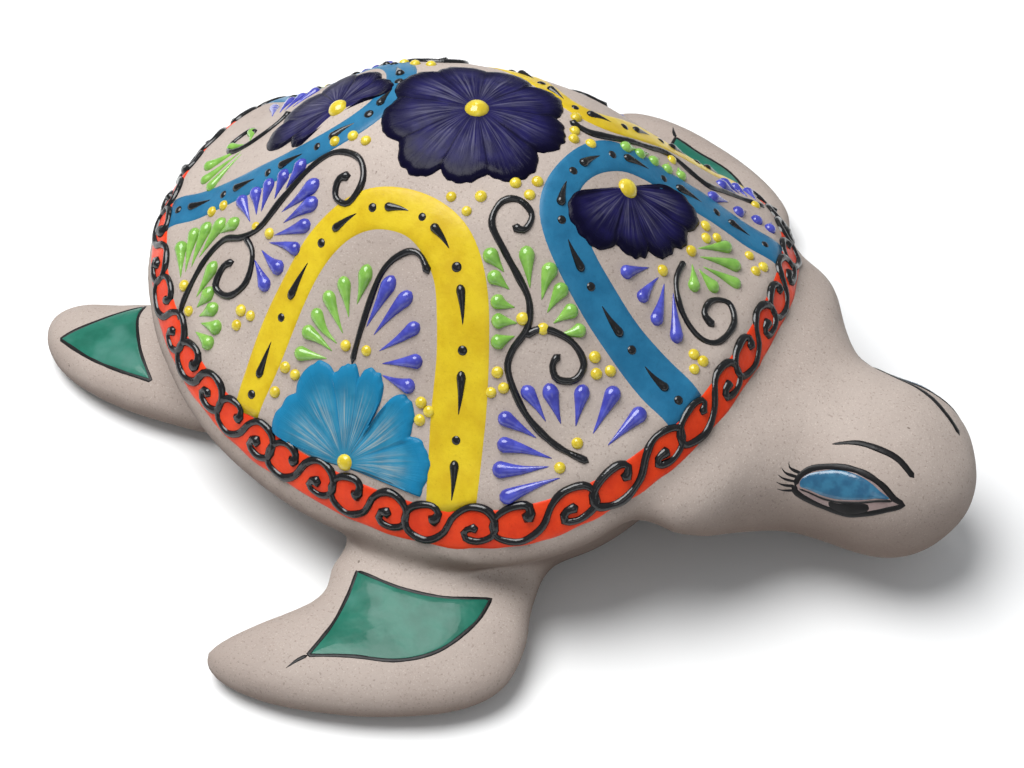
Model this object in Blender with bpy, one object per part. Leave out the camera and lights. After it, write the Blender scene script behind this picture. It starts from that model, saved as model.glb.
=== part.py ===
"""A hollow ceramic sea turtle: clay shells and limbs, with glaze and slip pieces laid on them.

Metres, +Z up, +X towards the head, -Y the turtle's right side. The figure rests on z = 0.
Every outline below is drawn in shell units: one unit is half of the shell's length.
"""

import math

import bmesh
import bpy
from mathutils import Vector

# Driving dimensions
UNIT = 0.113  # metres in one shell unit
WALL = 0.0055  # thickness of the clay
GAP = 0.0004  # clearance between neighbouring pieces
SLIP_LOW = 0.0008  # a slip piece's underside, above the true clay surface
GLAZE_HIGH = 0.0017  # top of a flat glaze area
SLIP_HIGH = 0.0025  # top of a raised slip line or dot

# The shell, in shell units
SHELL_X = -0.1725  # the shell's centre, measured from the middle of the whole figure
SHELL_WIDTH = 0.90  # half width over half length
FRONT_WIDENING = 0.12  # the outline is this much wider at the front than at its middle
SQUARENESS = 0.825  # exponent of the outline, where 1 is an ellipse
RIM_HEIGHT = 0.44
RIM_SADDLE = 0.14  # the rim rises by this at the front and back and drops by it at the sides
DOME = (
    (0, 0.75), (0.13, 0.74), (0.27, 0.695), (0.40, 0.63), (0.55, 0.495),
    (0.70, 0.34), (0.84, 0.20), (0.93, 0.125), (1, 0),
)
LIP = ((1.0, 0.0), (1.012, -0.03), (1.005, -0.065), (0.975, -0.095), (0.94, -0.11))
BELLY = ((0.935, 1.0), (0.90, 0.72), (0.86, 0.42), (0.80, 0.16), (0.74, 0.03), (0.70, 0.0))
POUR_HOLE = 0.18  # radius of the hole in the belly, as a part of the outline
SHELL_STEPS = 48
HEAD_SIDES = 24
FLIPPER_SIDES = 16
LIMB_BULGE = 0.85  # exponent of a limb's section, where 1 is an ellipse
BAND_STEPS = 60
BAND = (0.937, 0.995)  # the rim band's inner and outer edges, as parts of the outline

CLAY = (0.52, 0.42, 0.36)
ORANGE = (0.75, 0.06, 0.01)
YELLOW = (0.68, 0.50, 0.01)
SKY = (0.03, 0.24, 0.46)
NAVY = (0.012, 0.008, 0.11)
LIGHT_BLUE = (0.03, 0.28, 0.55)
GREEN = (0.03, 0.26, 0.16)
BLACK = (0.006, 0.006, 0.007)


def clear_scene():
    for obj in list(bpy.data.objects):
        bpy.data.objects.remove(obj)


def glaze(name, colour, roughness):
    material = bpy.data.materials.new(name)
    material.use_nodes = True
    shader = material.node_tree.nodes["Principled BSDF"]
    shader.inputs["Base Color"].default_value = (*colour, 1)
    shader.inputs["Roughness"].default_value = roughness
    shader.inputs["Metallic"].default_value = 0
    return material


def smooth_curve(points, x):
    """The height at x of a smooth curve through (x, height) points, straight past its end."""
    last = len(points) - 1
    slopes = []
    for i in range(last + 1):
        low, high = points[max(i - 1, 0)], points[min(i + 1, last)]
        slopes.append((high[1] - low[1]) / (high[0] - low[0]))
    slopes[0] = 0
    if x >= points[last][0]:
        return points[last][1] + slopes[last] * (x - points[last][0])
    i = max(k for k in range(last) if points[k][0] <= x)
    (x0, y0), (x1, y1) = points[i], points[i + 1]
    span = x1 - x0
    s = (x - x0) / span
    return (
        y0 * (1 + 2 * s) * (1 - s) ** 2
        + y1 * s * s * (3 - 2 * s)
        + span * s * (1 - s) * (slopes[i] * (1 - s) - slopes[i + 1] * s)
    )


def edge(turn):
    """The shell's outline in plan, at an angle counted from the front towards the left."""
    c, s = math.cos(turn), math.sin(turn)
    x = math.copysign(abs(c) ** SQUARENESS, c)
    y = math.copysign(abs(s) ** SQUARENESS, s) * SHELL_WIDTH * (1 + FRONT_WIDENING * x)
    return x, y


def shell_place(x, y):
    """How far (x, y) lies from the shell's centre towards its edge, and the rim's rise there."""
    power = 2 / SQUARENESS
    r = max(math.hypot(x, y / SHELL_WIDTH), 1e-6)
    for _ in range(6):
        width = SHELL_WIDTH * (1 + FRONT_WIDENING * max(-1, min(1, x / r)))
        r = (abs(x) ** power + abs(y / width) ** power) ** (1 / power)
        r = max(r, 1e-6)
    return r, 2 * min(1, abs(x / r)) ** power - 1


def dome_height(x, y):
    r, rise = shell_place(x, y)
    return RIM_HEIGHT + RIM_SADDLE * rise * min(r, 1) ** 2 + smooth_curve(DOME, r)


def in_row(x, y, z):
    return Vector(((SHELL_X + x) * UNIT, y * UNIT, z * UNIT))


def on_shell(x, y, lift):
    """The point lift metres above the dome over the plan point (x, y)."""
    step = 0.004
    slope_x = (dome_height(x + step, y) - dome_height(x - step, y)) / (2 * step)
    slope_y = (dome_height(x, y + step) - dome_height(x, y - step)) / (2 * step)
    normal = Vector((-slope_x, -slope_y, 1)).normalized()
    return in_row(x, y, dome_height(x, y)) + normal * lift


def new_object(name, points, faces, material):
    mesh = bpy.data.meshes.new(name)
    mesh.from_pydata([tuple(p) for p in points], [], faces)
    mesh.validate()
    work = bmesh.new()
    work.from_mesh(mesh)
    bmesh.ops.recalc_face_normals(work, faces=work.faces)
    if work.calc_volume(signed=True) < 0:
        bmesh.ops.reverse_faces(work, faces=work.faces)
    work.to_mesh(mesh)
    work.free()
    mesh.materials.append(material)
    mesh.shade_smooth()
    mesh.set_sharp_from_angle(angle=math.radians(40))
    obj = bpy.data.objects.new(name, mesh)
    bpy.context.scene.collection.objects.link(obj)
    return obj


def ring_solid(name, rings, material, closed_ends):
    """Rings of points bridged in turn. The ends are capped, or the last ring meets the first."""
    count = len(rings[0])
    points = [p for ring in rings for p in ring]
    faces = []
    pairs = len(rings) - 1 if closed_ends else len(rings)
    for i in range(pairs):
        j = (i + 1) % len(rings)
        for k in range(count):
            m = (k + 1) % count
            faces.append((i * count + k, i * count + m, j * count + m, j * count + k))
    if closed_ends:
        for first in (0, (len(rings) - 1) * count):
            middle = sum((Vector(p) for p in points[first:first + count]), Vector()) / count
            points.append(middle)
            faces += [(first + k, first + (k + 1) % count, len(points) - 1) for k in range(count)]
    return new_object(name, points, faces, material)


def cut(obj, tool):
    """Takes tool away from obj. The tool stays in the scene as a hidden guide."""
    modifier = obj.modifiers.new("Cut by " + tool.name, "BOOLEAN")
    modifier.operation = "DIFFERENCE"
    modifier.object = tool
    tool.hide_render = True
    tool.display_type = "WIRE"


# The clay


def body_ring(scale, height, drop_share=None):
    """One ring of the body's outer form. Height counts from the rim, or is a share of the seam."""
    ring = []
    for k in range(SHELL_STEPS):
        turn = 2 * math.pi * k / SHELL_STEPS
        x, y = edge(turn)
        rim = RIM_HEIGHT + RIM_SADDLE * math.cos(2 * turn)
        z = rim + height if drop_share is None else (rim + LIP[-1][1]) * drop_share
        ring.append(in_row(x * scale, y * scale, z))
    return ring


def dome_ring(scale):
    ring = []
    for k in range(SHELL_STEPS):
        x, y = edge(2 * math.pi * k / SHELL_STEPS)
        ring.append(in_row(x * scale, y * scale, dome_height(x * scale, y * scale)))
    return ring


def outer_dome_rings():
    return [dome_ring(s) for s in (0.12, 0.25, 0.38, 0.50, 0.61, 0.71, 0.80, 0.87, 0.92, 0.96)]


def lip_rings():
    return [body_ring(scale, drop) for scale, drop in LIP]


def belly_rings():
    return [body_ring(scale, 0, share) for scale, share in BELLY]


def grown(rings, amount, capped):
    """The same rings moved along the surface's outward normal."""
    moved = []
    for i, ring in enumerate(rings):
        before, after = rings[max(i - 1, 0)], rings[min(i + 1, len(rings) - 1)]
        moved_ring = []
        for k, point in enumerate(ring):
            around = ring[(k + 1) % len(ring)] - ring[k - 1]
            along = after[k] - before[k]
            normal = around.cross(along).normalized()
            moved_ring.append(point + normal * amount)
        moved.append(moved_ring)
    if capped:
        for ring in (moved[0], moved[-1]):
            middle = sum((p for p in ring), Vector()) / len(ring)
            for p in ring:
                p.z = middle.z
    return moved


def carapace(clay):
    outer = outer_dome_rings() + lip_rings()
    inner = grown(outer, WALL, False)
    for k, point in enumerate(inner[-1]):
        point.z = outer[-1][k].z
    top_outer = in_row(0, 0, dome_height(0, 0))
    points = [p for ring in outer + inner[::-1] for p in ring]
    faces = []
    count = SHELL_STEPS
    rings = 2 * len(outer)
    for i in range(rings - 1):
        for k in range(count):
            m = (k + 1) % count
            faces.append((i * count + k, i * count + m, (i + 1) * count + m, (i + 1) * count + k))
    points += [top_outer, top_outer - Vector((0, 0, WALL))]
    last = (rings - 1) * count
    for k in range(count):
        m = (k + 1) % count
        faces.append((k, m, len(points) - 2))
        faces.append((last + k, last + m, len(points) - 1))
    new_object("carapace", points, faces, clay)


def plastron(clay):
    outer = belly_rings()
    outer.append([Vector((p.x, p.y, 0)) for p in body_ring(POUR_HOLE, 0, 0)])
    inner = grown(outer[:-1], WALL, False)
    for point, edge_point in zip(inner[0], outer[0]):
        point.z = edge_point.z
    for ring in inner[1:]:
        for point in ring:
            point.z = max(point.z, WALL)
    hole_top = [Vector((p.x, p.y, WALL)) for p in outer[-1]]
    for ring in (outer[0], inner[0]):
        for point in ring:
            point.z -= GAP
    ring_solid("plastron", outer + [hole_top] + inner[::-1], clay, False)


def body_tool(material):
    """The body's outer form, larger by the gap, which trims each limb where it meets the body."""
    rings = outer_dome_rings() + lip_rings() + belly_rings()[1:]
    rings = grown(rings, -GAP, True)
    for point in rings[-1]:
        point.z = -GAP
    return ring_solid("body_form", rings, material, True)


def limb_rings(stations, sides):
    """Rings across a limb. Each station is (x, y, heading, half width, bottom, top)."""
    rings = []
    for x, y, heading, half, bottom, top in stations:
        across = Vector((-math.sin(math.radians(heading)), math.cos(math.radians(heading)), 0))
        middle = in_row(x, y, (bottom + top) / 2)
        a = half * UNIT
        b = (top - bottom) / 2 * UNIT
        ring = []
        for k in range(sides):
            turn = 2 * math.pi * (k + 0.5) / sides
            c, s = math.cos(turn), math.sin(turn)
            wide = math.copysign(abs(c) ** LIMB_BULGE, c) * a
            high = math.copysign(abs(s) ** LIMB_BULGE, s) * b
            ring.append(middle + across * wide + Vector((0, 0, high)))
        rings.append(ring)
    return rings


def mirrored(stations, side):
    return [(x, y * side, h * side, half, low, top) for x, y, h, half, low, top in stations]


# Stations of the limbs on the right side, from inside the body outwards
FRONT_FLIPPER = (
    (0.33, -0.58, -90, 0.28, 0.0, 0.25),
    (0.335, -0.80, -90, 0.30, 0.0, 0.235),
    (0.36, -0.95, -90, 0.325, 0.0, 0.215),
    (0.37, -1.06, -98, 0.32, 0.0, 0.195),
    (0.315, -1.15, -107, 0.28, 0.0, 0.18),
    (0.205, -1.235, -118, 0.22, 0.0, 0.17),
    (0.09, -1.30, -128, 0.165, 0.0, 0.16),
    (-0.01, -1.345, -139, 0.115, 0.0, 0.145),
    (-0.095, -1.375, -148, 0.065, 0.02, 0.115),
    (-0.14, -1.385, -150, 0.022, 0.045, 0.085),
)
REAR_FLIPPER = (
    (-0.62, -0.38, -170, 0.25, 0.0, 0.21),
    (-0.86, -0.43, -172, 0.235, 0.0, 0.205),
    (-1.04, -0.45, -176, 0.205, 0.0, 0.185),
    (-1.17, -0.45, -182, 0.165, 0.0, 0.16),
    (-1.26, -0.435, -190, 0.12, 0.005, 0.15),
    (-1.315, -0.42, -195, 0.07, 0.025, 0.125),
    (-1.34, -0.415, -195, 0.025, 0.05, 0.10),
)
HEAD = (
    (0.74, 0.0, 0, 0.60, 0.30, 0.57),
    (0.88, 0.0, 0, 0.60, 0.30, 0.575),
    (0.97, 0.0, 0, 0.585, 0.265, 0.575),
    (1.05, 0.0, 0, 0.52, 0.215, 0.565),
    (1.13, 0.0, 0, 0.405, 0.155, 0.545),
    (1.22, 0.0, 0, 0.315, 0.115, 0.53),
    (1.33, 0.0, 0, 0.29, 0.10, 0.53),
    (1.43, 0.0, 0, 0.285, 0.10, 0.53),
    (1.52, 0.0, 0, 0.26, 0.11, 0.51),
    (1.60, 0.0, 0, 0.205, 0.145, 0.465),
    (1.655, 0.0, 0, 0.125, 0.20, 0.41),
    (1.685, 0.0, 0, 0.045, 0.26, 0.35),
)


def flipper(name, stations, side, clay, body):
    obj = ring_solid(name, limb_rings(mirrored(stations, side), FLIPPER_SIDES), clay, True)
    cut(obj, body)


def head_and_neck(clay, body):
    obj = ring_solid("head_and_neck", limb_rings(HEAD, HEAD_SIDES), clay, True)
    cut(obj, body)


# Glaze and slip on the shell


def slab(name, rows, high, material, wraps):
    """A thin sheet over the dome. Rows of plan points, with the same count in each row."""
    across = len(rows[0])
    top = [on_shell(x, y, high) for row in rows for x, y in row]
    bottom = [on_shell(x, y, SLIP_LOW) for row in rows for x, y in row]
    faces = []
    base = len(top)
    spans = len(rows) if wraps else len(rows) - 1
    for i in range(spans):
        j = (i + 1) % len(rows)
        for k in range(across - 1):
            a, b = i * across + k, i * across + k + 1
            c, d = j * across + k + 1, j * across + k
            faces += [(a, b, c, d), (base + d, base + c, base + b, base + a)]
        for k in (0, across - 1):
            a, d = i * across + k, j * across + k
            faces.append((a, d, base + d, base + a))
    if not wraps:
        for i in (0, len(rows) - 1):
            for k in range(across - 1):
                a, b = i * across + k, i * across + k + 1
                faces.append((a, b, base + b, base + a))
    return new_object(name, top + bottom, faces, material)


def path_through(points, steps):
    """A smooth path through the points, with steps short spans between each two."""
    ends = [points[0], *points, points[-1]]
    path = []
    for i in range(1, len(ends) - 2):
        for k in range(steps):
            s = k / steps
            place = []
            for axis in (0, 1):
                p0, p1, p2, p3 = (ends[i + j][axis] for j in (-1, 0, 1, 2))
                place.append(
                    0.5 * (2 * p1 + (p2 - p0) * s + (2 * p0 - 5 * p1 + 4 * p2 - p3) * s * s
                           + (3 * p1 - p0 - 3 * p2 + p3) * s ** 3)
                )
            path.append(tuple(place))
    return path + [points[-1]]


def ribbon_rows(path, width, across):
    """Rows of points across a path in plan."""
    rows = []
    for i, (x, y) in enumerate(path):
        (x0, y0), (x1, y1) = path[max(i - 1, 0)], path[min(i + 1, len(path) - 1)]
        length = math.hypot(x1 - x0, y1 - y0)
        side_x, side_y = (y0 - y1) / length, (x1 - x0) / length
        row = []
        for k in range(across):
            offset = width * (k / (across - 1) - 0.5)
            row.append((x + side_x * offset, y + side_y * offset))
        rows.append(row)
    return rows


def rim_band(material):
    rows = []
    for k in range(BAND_STEPS):
        x, y = edge(2 * math.pi * k / BAND_STEPS)
        spread = [BAND[0] + (BAND[1] - BAND[0]) * j / 3 for j in range(4)]
        rows.append([(x * s, y * s) for s in spread])
    slab("rim_band", rows, GLAZE_HIGH, material, True)


ARCH_WIDTH = 0.105
SIDE_ARCH = (
    (-0.345, -0.745), (-0.32, -0.61), (-0.215, -0.435), (-0.05, -0.36),
    (0.13, -0.38), (0.265, -0.51), (0.33, -0.66), (0.37, -0.80),
)
FRONT_ARCH = (
    (0.855, -0.345), (0.68, -0.29), (0.53, -0.24), (0.43, -0.165), (0.38, 0.0),
    (0.43, 0.165), (0.53, 0.24), (0.68, 0.29), (0.855, 0.345),
)
REAR_ARCH = (
    (-0.86, -0.31), (-0.68, -0.245), (-0.53, -0.22), (-0.36, -0.165), (-0.275, 0.0),
    (-0.36, 0.165), (-0.53, 0.22), (-0.68, 0.245), (-0.86, 0.31),
)


def arch(name, points, side, material):
    path = [(x, y * side) for x, y in path_through(points, 3)]
    slab(name, ribbon_rows(path, ARCH_WIDTH, 3), GLAZE_HIGH, material, False)


def flower(name, centre, radii, start, sweep, petals, material, eye, side=1):
    """Petals spread round a centre, from one heading through a sweep, with the eye left open."""
    steps = petals * 4
    full = abs(sweep) >= 360
    rows = []
    for k in range(steps if full else steps + 1):
        share = k / steps
        heading = math.radians(start + sweep * share)
        reach = smooth_curve(tuple((i / (len(radii) - 1), r) for i, r in enumerate(radii)), share)
        reach *= 0.86 + 0.14 * abs(math.sin(math.pi * share * petals)) ** 0.7
        row = []
        for j in range(4):
            r = eye + (reach - eye) * j / 3
            x = centre[0] + r * math.cos(heading)
            y = centre[1] + r * math.sin(heading)
            row.append((x, y * side))
        rows.append(row)
    slab(name, rows, GLAZE_HIGH, material, full)


def button(name, centre, radius, material):
    """A low round dome of slip."""
    ring_count, sides = 3, 12
    middle = on_shell(*centre, SLIP_HIGH)
    points = [on_shell(*centre, SLIP_LOW), middle]
    faces = []
    for j in range(ring_count):
        r = radius * (j + 1) / ring_count
        lift = SLIP_LOW + (SLIP_HIGH - SLIP_LOW) * max(0.35, 1 - ((j + 1) / ring_count) ** 2)
        for k in range(sides):
            turn = 2 * math.pi * k / sides
            x, y = centre[0] + r * math.cos(turn), centre[1] + r * math.sin(turn)
            points.append(on_shell(x, y, lift))
    for k in range(sides):
        turn = 2 * math.pi * k / sides
        x, y = centre[0] + radius * math.cos(turn), centre[1] + radius * math.sin(turn)
        points.append(on_shell(x, y, SLIP_LOW))
    for k in range(sides):
        m = (k + 1) % sides
        faces.append((1, 2 + k, 2 + m))
        for j in range(ring_count):
            a, b = 2 + j * sides, 2 + (j + 1) * sides
            faces.append((a + k, a + m, b + m, b + k))
        last = 2 + ring_count * sides
        faces.append((0, last + m, last + k))
    new_object(name, points, faces, material)


VINE_WIDTH = 0.021
FRONT_VINE = (
    (0.70, -0.62), (0.60, -0.63), (0.50, -0.60), (0.43, -0.55), (0.43, -0.48), (0.43, -0.42),
    (0.36, -0.375), (0.28, -0.33), (0.245, -0.27), (0.28, -0.23), (0.33, -0.235), (0.34, -0.28),
)
REAR_VINE = (
    (-0.68, -0.58), (-0.67, -0.50), (-0.62, -0.42), (-0.53, -0.41), (-0.46, -0.375),
    (-0.38, -0.29), (-0.29, -0.24), (-0.20, -0.26), (-0.17, -0.32), (-0.215, -0.35),
)
SIDE_STEM = ((-0.035, -0.62), (-0.035, -0.56), (-0.015, -0.47), (0.045, -0.435), (0.10, -0.45))
FRONT_STEM = ((0.71, 0.03), (0.72, -0.05), (0.76, -0.10), (0.81, -0.09), (0.82, -0.04))
REAR_STEM = ((-0.62, 0.02), (-0.66, -0.05), (-0.72, -0.08), (-0.76, -0.03))


def vine(name, points, side, material):
    path = [(x, y * side) for x, y in path_through(points, 3)]
    slab(name, ribbon_rows(path, VINE_WIDTH, 2), SLIP_HIGH, material, False)


# Glaze on the limbs


def limb_patch(name, limb, corners, side, material):
    """A thin glaze patch that lies on a limb. Corners are (station number, share across)."""
    path = []
    for i in range(len(corners)):
        (s0, a0), (s1, a1) = corners[i], corners[(i + 1) % len(corners)]
        path += [(s0 + (s1 - s0) * k / 4, a0 + (a1 - a0) * k / 4) for k in range(4)]
    centre = tuple(sum(p[axis] for p in path) / len(path) for axis in (0, 1))
    count = len(path)
    points = []
    for high in (GLAZE_HIGH, SLIP_LOW):
        points.append(limb_point(limb, *centre, high, side))
        for share in (0.5, 1.0):
            for s, a in path:
                place = (centre[0] + (s - centre[0]) * share, centre[1] + (a - centre[1]) * share)
                points.append(limb_point(limb, *place, high, side))
    faces = []
    half = 1 + 2 * count
    for k in range(count):
        m = (k + 1) % count
        for base in (0, half):
            faces.append((base, base + 1 + k, base + 1 + m))
            a, b = base + 1, base + 1 + count
            faces.append((a + k, a + m, b + m, b + k))
        faces.append((1 + count + k, 1 + count + m, half + 1 + count + m, half + 1 + count + k))
    new_object(name, points, faces, material)


def limb_point(limb, station, across, lift, side):
    """A point over a limb's upper side. Across runs from -1 to 1 over its width."""
    i = min(int(station), len(limb) - 2)
    s = station - i
    x, y, heading, half, low, top = (
        a + (b - a) * s for a, b in zip(limb[i], limb[i + 1])
    )
    turn = math.radians(heading)
    side_way = Vector((-math.sin(turn), math.cos(turn), 0))
    power = 1 / LIMB_BULGE
    rise = (1 - abs(across) ** (2 * power)) ** (0.5 / power)
    place = in_row(x, y, (low + top) / 2 + (top - low) / 2 * rise)
    place += side_way * across * half * UNIT
    lean = abs(across) ** 1.5 * math.copysign(0.6, across)
    place += (side_way * lean + Vector((0, 0, 1))).normalized() * lift
    place.y *= side
    return place


def eyelid(name, side, material):
    """A thin almond of glaze on the side of the head."""
    centre_x, centre_z, length, height = 1.38, 0.43, 0.26, 0.09
    rows = []
    for i in range(9):
        s = i / 8
        x = centre_x + length * (s - 0.5)
        half = height / 2 * math.sin(math.pi * (0.06 + 0.88 * s))
        rows.append([(x, centre_z - half), (x, centre_z), (x, centre_z + half)])
    points = []
    for lift in (GLAZE_HIGH, SLIP_LOW):
        points += [head_side(x, z, lift, side) for row in rows for x, z in row]
    faces = []
    base = len(points) // 2
    for i in range(8):
        for k in range(2):
            a, b, c, d = i * 3 + k, i * 3 + k + 1, i * 3 + k + 4, i * 3 + k + 3
            faces += [(a, b, c, d), (base + d, base + c, base + b, base + a)]
        for k in (0, 2):
            a, d = i * 3 + k, i * 3 + k + 3
            faces.append((a, d, base + d, base + a))
    for i in (0, 8):
        for k in range(2):
            a = i * 3 + k
            faces.append((a, a + 1, base + a + 1, base + a))
    new_object(name, points, faces, material)


def head_side(x, z, lift, side):
    """A point lift metres off the head's side, at the length x and the height z."""
    i = max(k for k in range(len(HEAD) - 1) if HEAD[k][0] <= x)
    s = (x - HEAD[i][0]) / (HEAD[i + 1][0] - HEAD[i][0])
    half, low, top = (HEAD[i][j] + (HEAD[i + 1][j] - HEAD[i][j]) * s for j in (3, 4, 5))
    power = 1 / LIMB_BULGE
    share = abs((2 * z - low - top) / (top - low))
    wide = half * (1 - share ** (2 * power)) ** (0.5 / power)
    return in_row(x, -side * wide, z) + Vector((0, -side * lift, lift * 0.3))


def main():
    clear_scene()
    clay = glaze("fired_clay", CLAY, 0.75)
    orange = glaze("orange_glaze", ORANGE, 0.4)
    yellow = glaze("yellow_glaze", YELLOW, 0.4)
    sky = glaze("sky_blue_glaze", SKY, 0.4)
    navy = glaze("navy_glaze", NAVY, 0.2)
    light_blue = glaze("light_blue_glaze", LIGHT_BLUE, 0.35)
    green = glaze("green_glaze", GREEN, 0.15)
    black = glaze("black_slip", BLACK, 0.2)

    body = body_tool(clay)
    carapace(clay)
    plastron(clay)
    head_and_neck(clay, body)
    for hand, side in (("right", 1), ("left", -1)):
        flipper("front_flipper_" + hand, FRONT_FLIPPER, side, clay, body)
        flipper("rear_flipper_" + hand, REAR_FLIPPER, side, clay, body)

    rim_band(orange)
    arch("front_arch", FRONT_ARCH, 1, sky)
    arch("rear_arch", REAR_ARCH, 1, sky)
    flower("top_flower", (0.045, -0.005), (0.225, 0.235, 0.225), 0, 360, 9, navy, 0.05)
    flower("front_flower", (0.49, 0.01), (0.15, 0.19, 0.15), -75, 150, 4, navy, 0.045)
    flower("rear_flower", (-0.44, -0.05), (0.16, 0.19, 0.11), 182, -140, 4, navy, 0.045)
    button("top_flower_centre", (0.045, -0.005), 0.042, yellow)
    button("front_flower_centre", (0.49, 0.01), 0.038, yellow)
    button("rear_flower_centre", (-0.44, -0.05), 0.038, yellow)
    vine("front_stem", FRONT_STEM, 1, black)
    vine("rear_stem", REAR_STEM, 1, black)
    for hand, side in (("right", 1), ("left", -1)):
        arch("side_arch_" + hand, SIDE_ARCH, side, yellow)
        flower("side_flower_" + hand, (0.03, -0.81), (0.25, 0.16, 0.24), 172, -164, 5,
               light_blue, 0.036, side)
        button("side_flower_centre_" + hand, (0.03, -0.81 * side), 0.03, yellow)
        vine("front_vine_" + hand, FRONT_VINE, side, black)
        vine("rear_vine_" + hand, REAR_VINE, side, black)
        vine("side_stem_" + hand, SIDE_STEM, side, black)
        front = ((1.9, 0.62), (2.3, -0.72), (4.3, -0.25), (4.1, 0.75))
        limb_patch("front_flipper_patch_" + hand, FRONT_FLIPPER, front, side, green)
        rear = ((1.6, 0.72), (1.6, -0.72), (4.1, 0.0))
        limb_patch("rear_flipper_patch_" + hand, REAR_FLIPPER, rear, side, green)
        eyelid("eyelid_" + hand, side, light_blue)


main()
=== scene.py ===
"""Looks of the ceramic sea turtle: one seamless hollow clay skin, with glaze areas and trailed slip on it.

Metres, in the row frame. Outlines on the shell are plan points in shell units: one unit is half of the
shell's length, x runs towards the head, and y is negative on the turtle's right side.
"""

import math

import bmesh
import bpy
import numpy as np
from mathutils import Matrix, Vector, noise
from mathutils.bvhtree import BVHTree


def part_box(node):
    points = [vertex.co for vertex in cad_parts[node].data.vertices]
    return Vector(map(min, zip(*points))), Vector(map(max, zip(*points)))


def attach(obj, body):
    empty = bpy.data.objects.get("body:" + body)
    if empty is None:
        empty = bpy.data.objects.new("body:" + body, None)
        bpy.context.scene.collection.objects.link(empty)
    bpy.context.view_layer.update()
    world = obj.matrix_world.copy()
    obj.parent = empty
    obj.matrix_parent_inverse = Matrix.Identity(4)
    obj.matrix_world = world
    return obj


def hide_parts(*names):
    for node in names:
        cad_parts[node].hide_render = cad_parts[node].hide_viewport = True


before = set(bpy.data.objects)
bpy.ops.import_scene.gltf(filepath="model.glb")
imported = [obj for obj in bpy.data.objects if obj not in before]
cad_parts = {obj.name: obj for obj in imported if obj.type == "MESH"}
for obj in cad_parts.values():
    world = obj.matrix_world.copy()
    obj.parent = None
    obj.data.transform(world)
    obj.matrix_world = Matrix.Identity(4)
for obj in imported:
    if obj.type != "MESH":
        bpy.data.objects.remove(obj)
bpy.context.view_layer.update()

# Driving sizes, from the frame
LIP_OUT = 1.012  # the shell's lip, as a part of the outline
SHELL_LOW, SHELL_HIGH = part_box("carapace")
UNIT = (SHELL_HIGH.x - SHELL_LOW.x) / 2 / LIP_OUT  # metres in one shell unit
SHELL_X = (SHELL_HIGH.x + SHELL_LOW.x) / 2
MM = 0.001

# The clay's form, in shell units
SHELL_WIDTH = 0.90
FRONT_WIDENING = 0.12
SQUARENESS = 0.825
RIM_HEIGHT = 0.44
RIM_SADDLE = 0.14
DOME = (
    (0, 0.75), (0.13, 0.74), (0.27, 0.695), (0.40, 0.63), (0.55, 0.495),
    (0.70, 0.34), (0.84, 0.20), (0.93, 0.125), (1, 0),
)
LIP = ((1.0, 0.0), (LIP_OUT, -0.03), (1.005, -0.065), (0.975, -0.095), (0.94, -0.11))
BELLY = ((0.935, 1.0), (0.90, 0.72), (0.86, 0.42), (0.80, 0.16), (0.74, 0.03), (0.70, 0.0))
WALL = 5.5 * MM
POUR_HOLE = 0.18
BAND_OUT, BAND_IN = 0.996, 0.935  # the orange band's edges, as parts of the outline

# Limbs on the right side: (x, y, heading, half width, bottom, top) from inside the body outwards
FRONT_FLIPPER = (
    (0.33, -0.58, -90, 0.28, 0.0, 0.25), (0.335, -0.80, -90, 0.30, 0.0, 0.235),
    (0.36, -0.95, -90, 0.325, 0.0, 0.215), (0.37, -1.06, -98, 0.32, 0.0, 0.195),
    (0.315, -1.15, -107, 0.28, 0.0, 0.18), (0.205, -1.235, -118, 0.22, 0.0, 0.17),
    (0.09, -1.30, -128, 0.165, 0.0, 0.16), (-0.01, -1.345, -139, 0.115, 0.0, 0.145),
    (-0.095, -1.375, -148, 0.065, 0.02, 0.115), (-0.14, -1.385, -150, 0.022, 0.045, 0.085),
)
REAR_FLIPPER = (
    (-0.62, -0.38, -170, 0.25, 0.0, 0.21), (-0.86, -0.43, -172, 0.235, 0.0, 0.205),
    (-1.04, -0.45, -176, 0.205, 0.0, 0.185), (-1.17, -0.45, -182, 0.165, 0.0, 0.16),
    (-1.26, -0.435, -190, 0.12, 0.005, 0.15), (-1.315, -0.42, -195, 0.07, 0.025, 0.125),
    (-1.34, -0.415, -195, 0.025, 0.05, 0.10),
)
HEAD = (
    (0.74, 0.0, 0, 0.60, 0.30, 0.57), (0.88, 0.0, 0, 0.60, 0.30, 0.575),
    (0.97, 0.0, 0, 0.585, 0.265, 0.575), (1.05, 0.0, 0, 0.52, 0.215, 0.565),
    (1.13, 0.0, 0, 0.405, 0.155, 0.545), (1.22, 0.0, 0, 0.315, 0.115, 0.53),
    (1.33, 0.0, 0, 0.29, 0.10, 0.53), (1.43, 0.0, 0, 0.285, 0.10, 0.53),
    (1.52, 0.0, 0, 0.26, 0.11, 0.51), (1.60, 0.0, 0, 0.205, 0.145, 0.465),
    (1.655, 0.0, 0, 0.125, 0.20, 0.41), (1.685, 0.0, 0, 0.045, 0.26, 0.35),
)

# The skin
VOXEL = 1.5 * MM
BODY_TURNS = 160
CAVITY_TURNS = 64
LIMB_SIDES = 56
LIMB_BULGE = 0.85  # exponent of a limb's section, where 1 is an ellipse
FILLET_REACH = 11 * MM  # smoothing works where two clay forms are both nearer than this
FILLET_PASSES = 60
LUMP = 0.30 * MM
LUMP_SPACING = 24 * MM


# Curves and plan shapes


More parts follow.
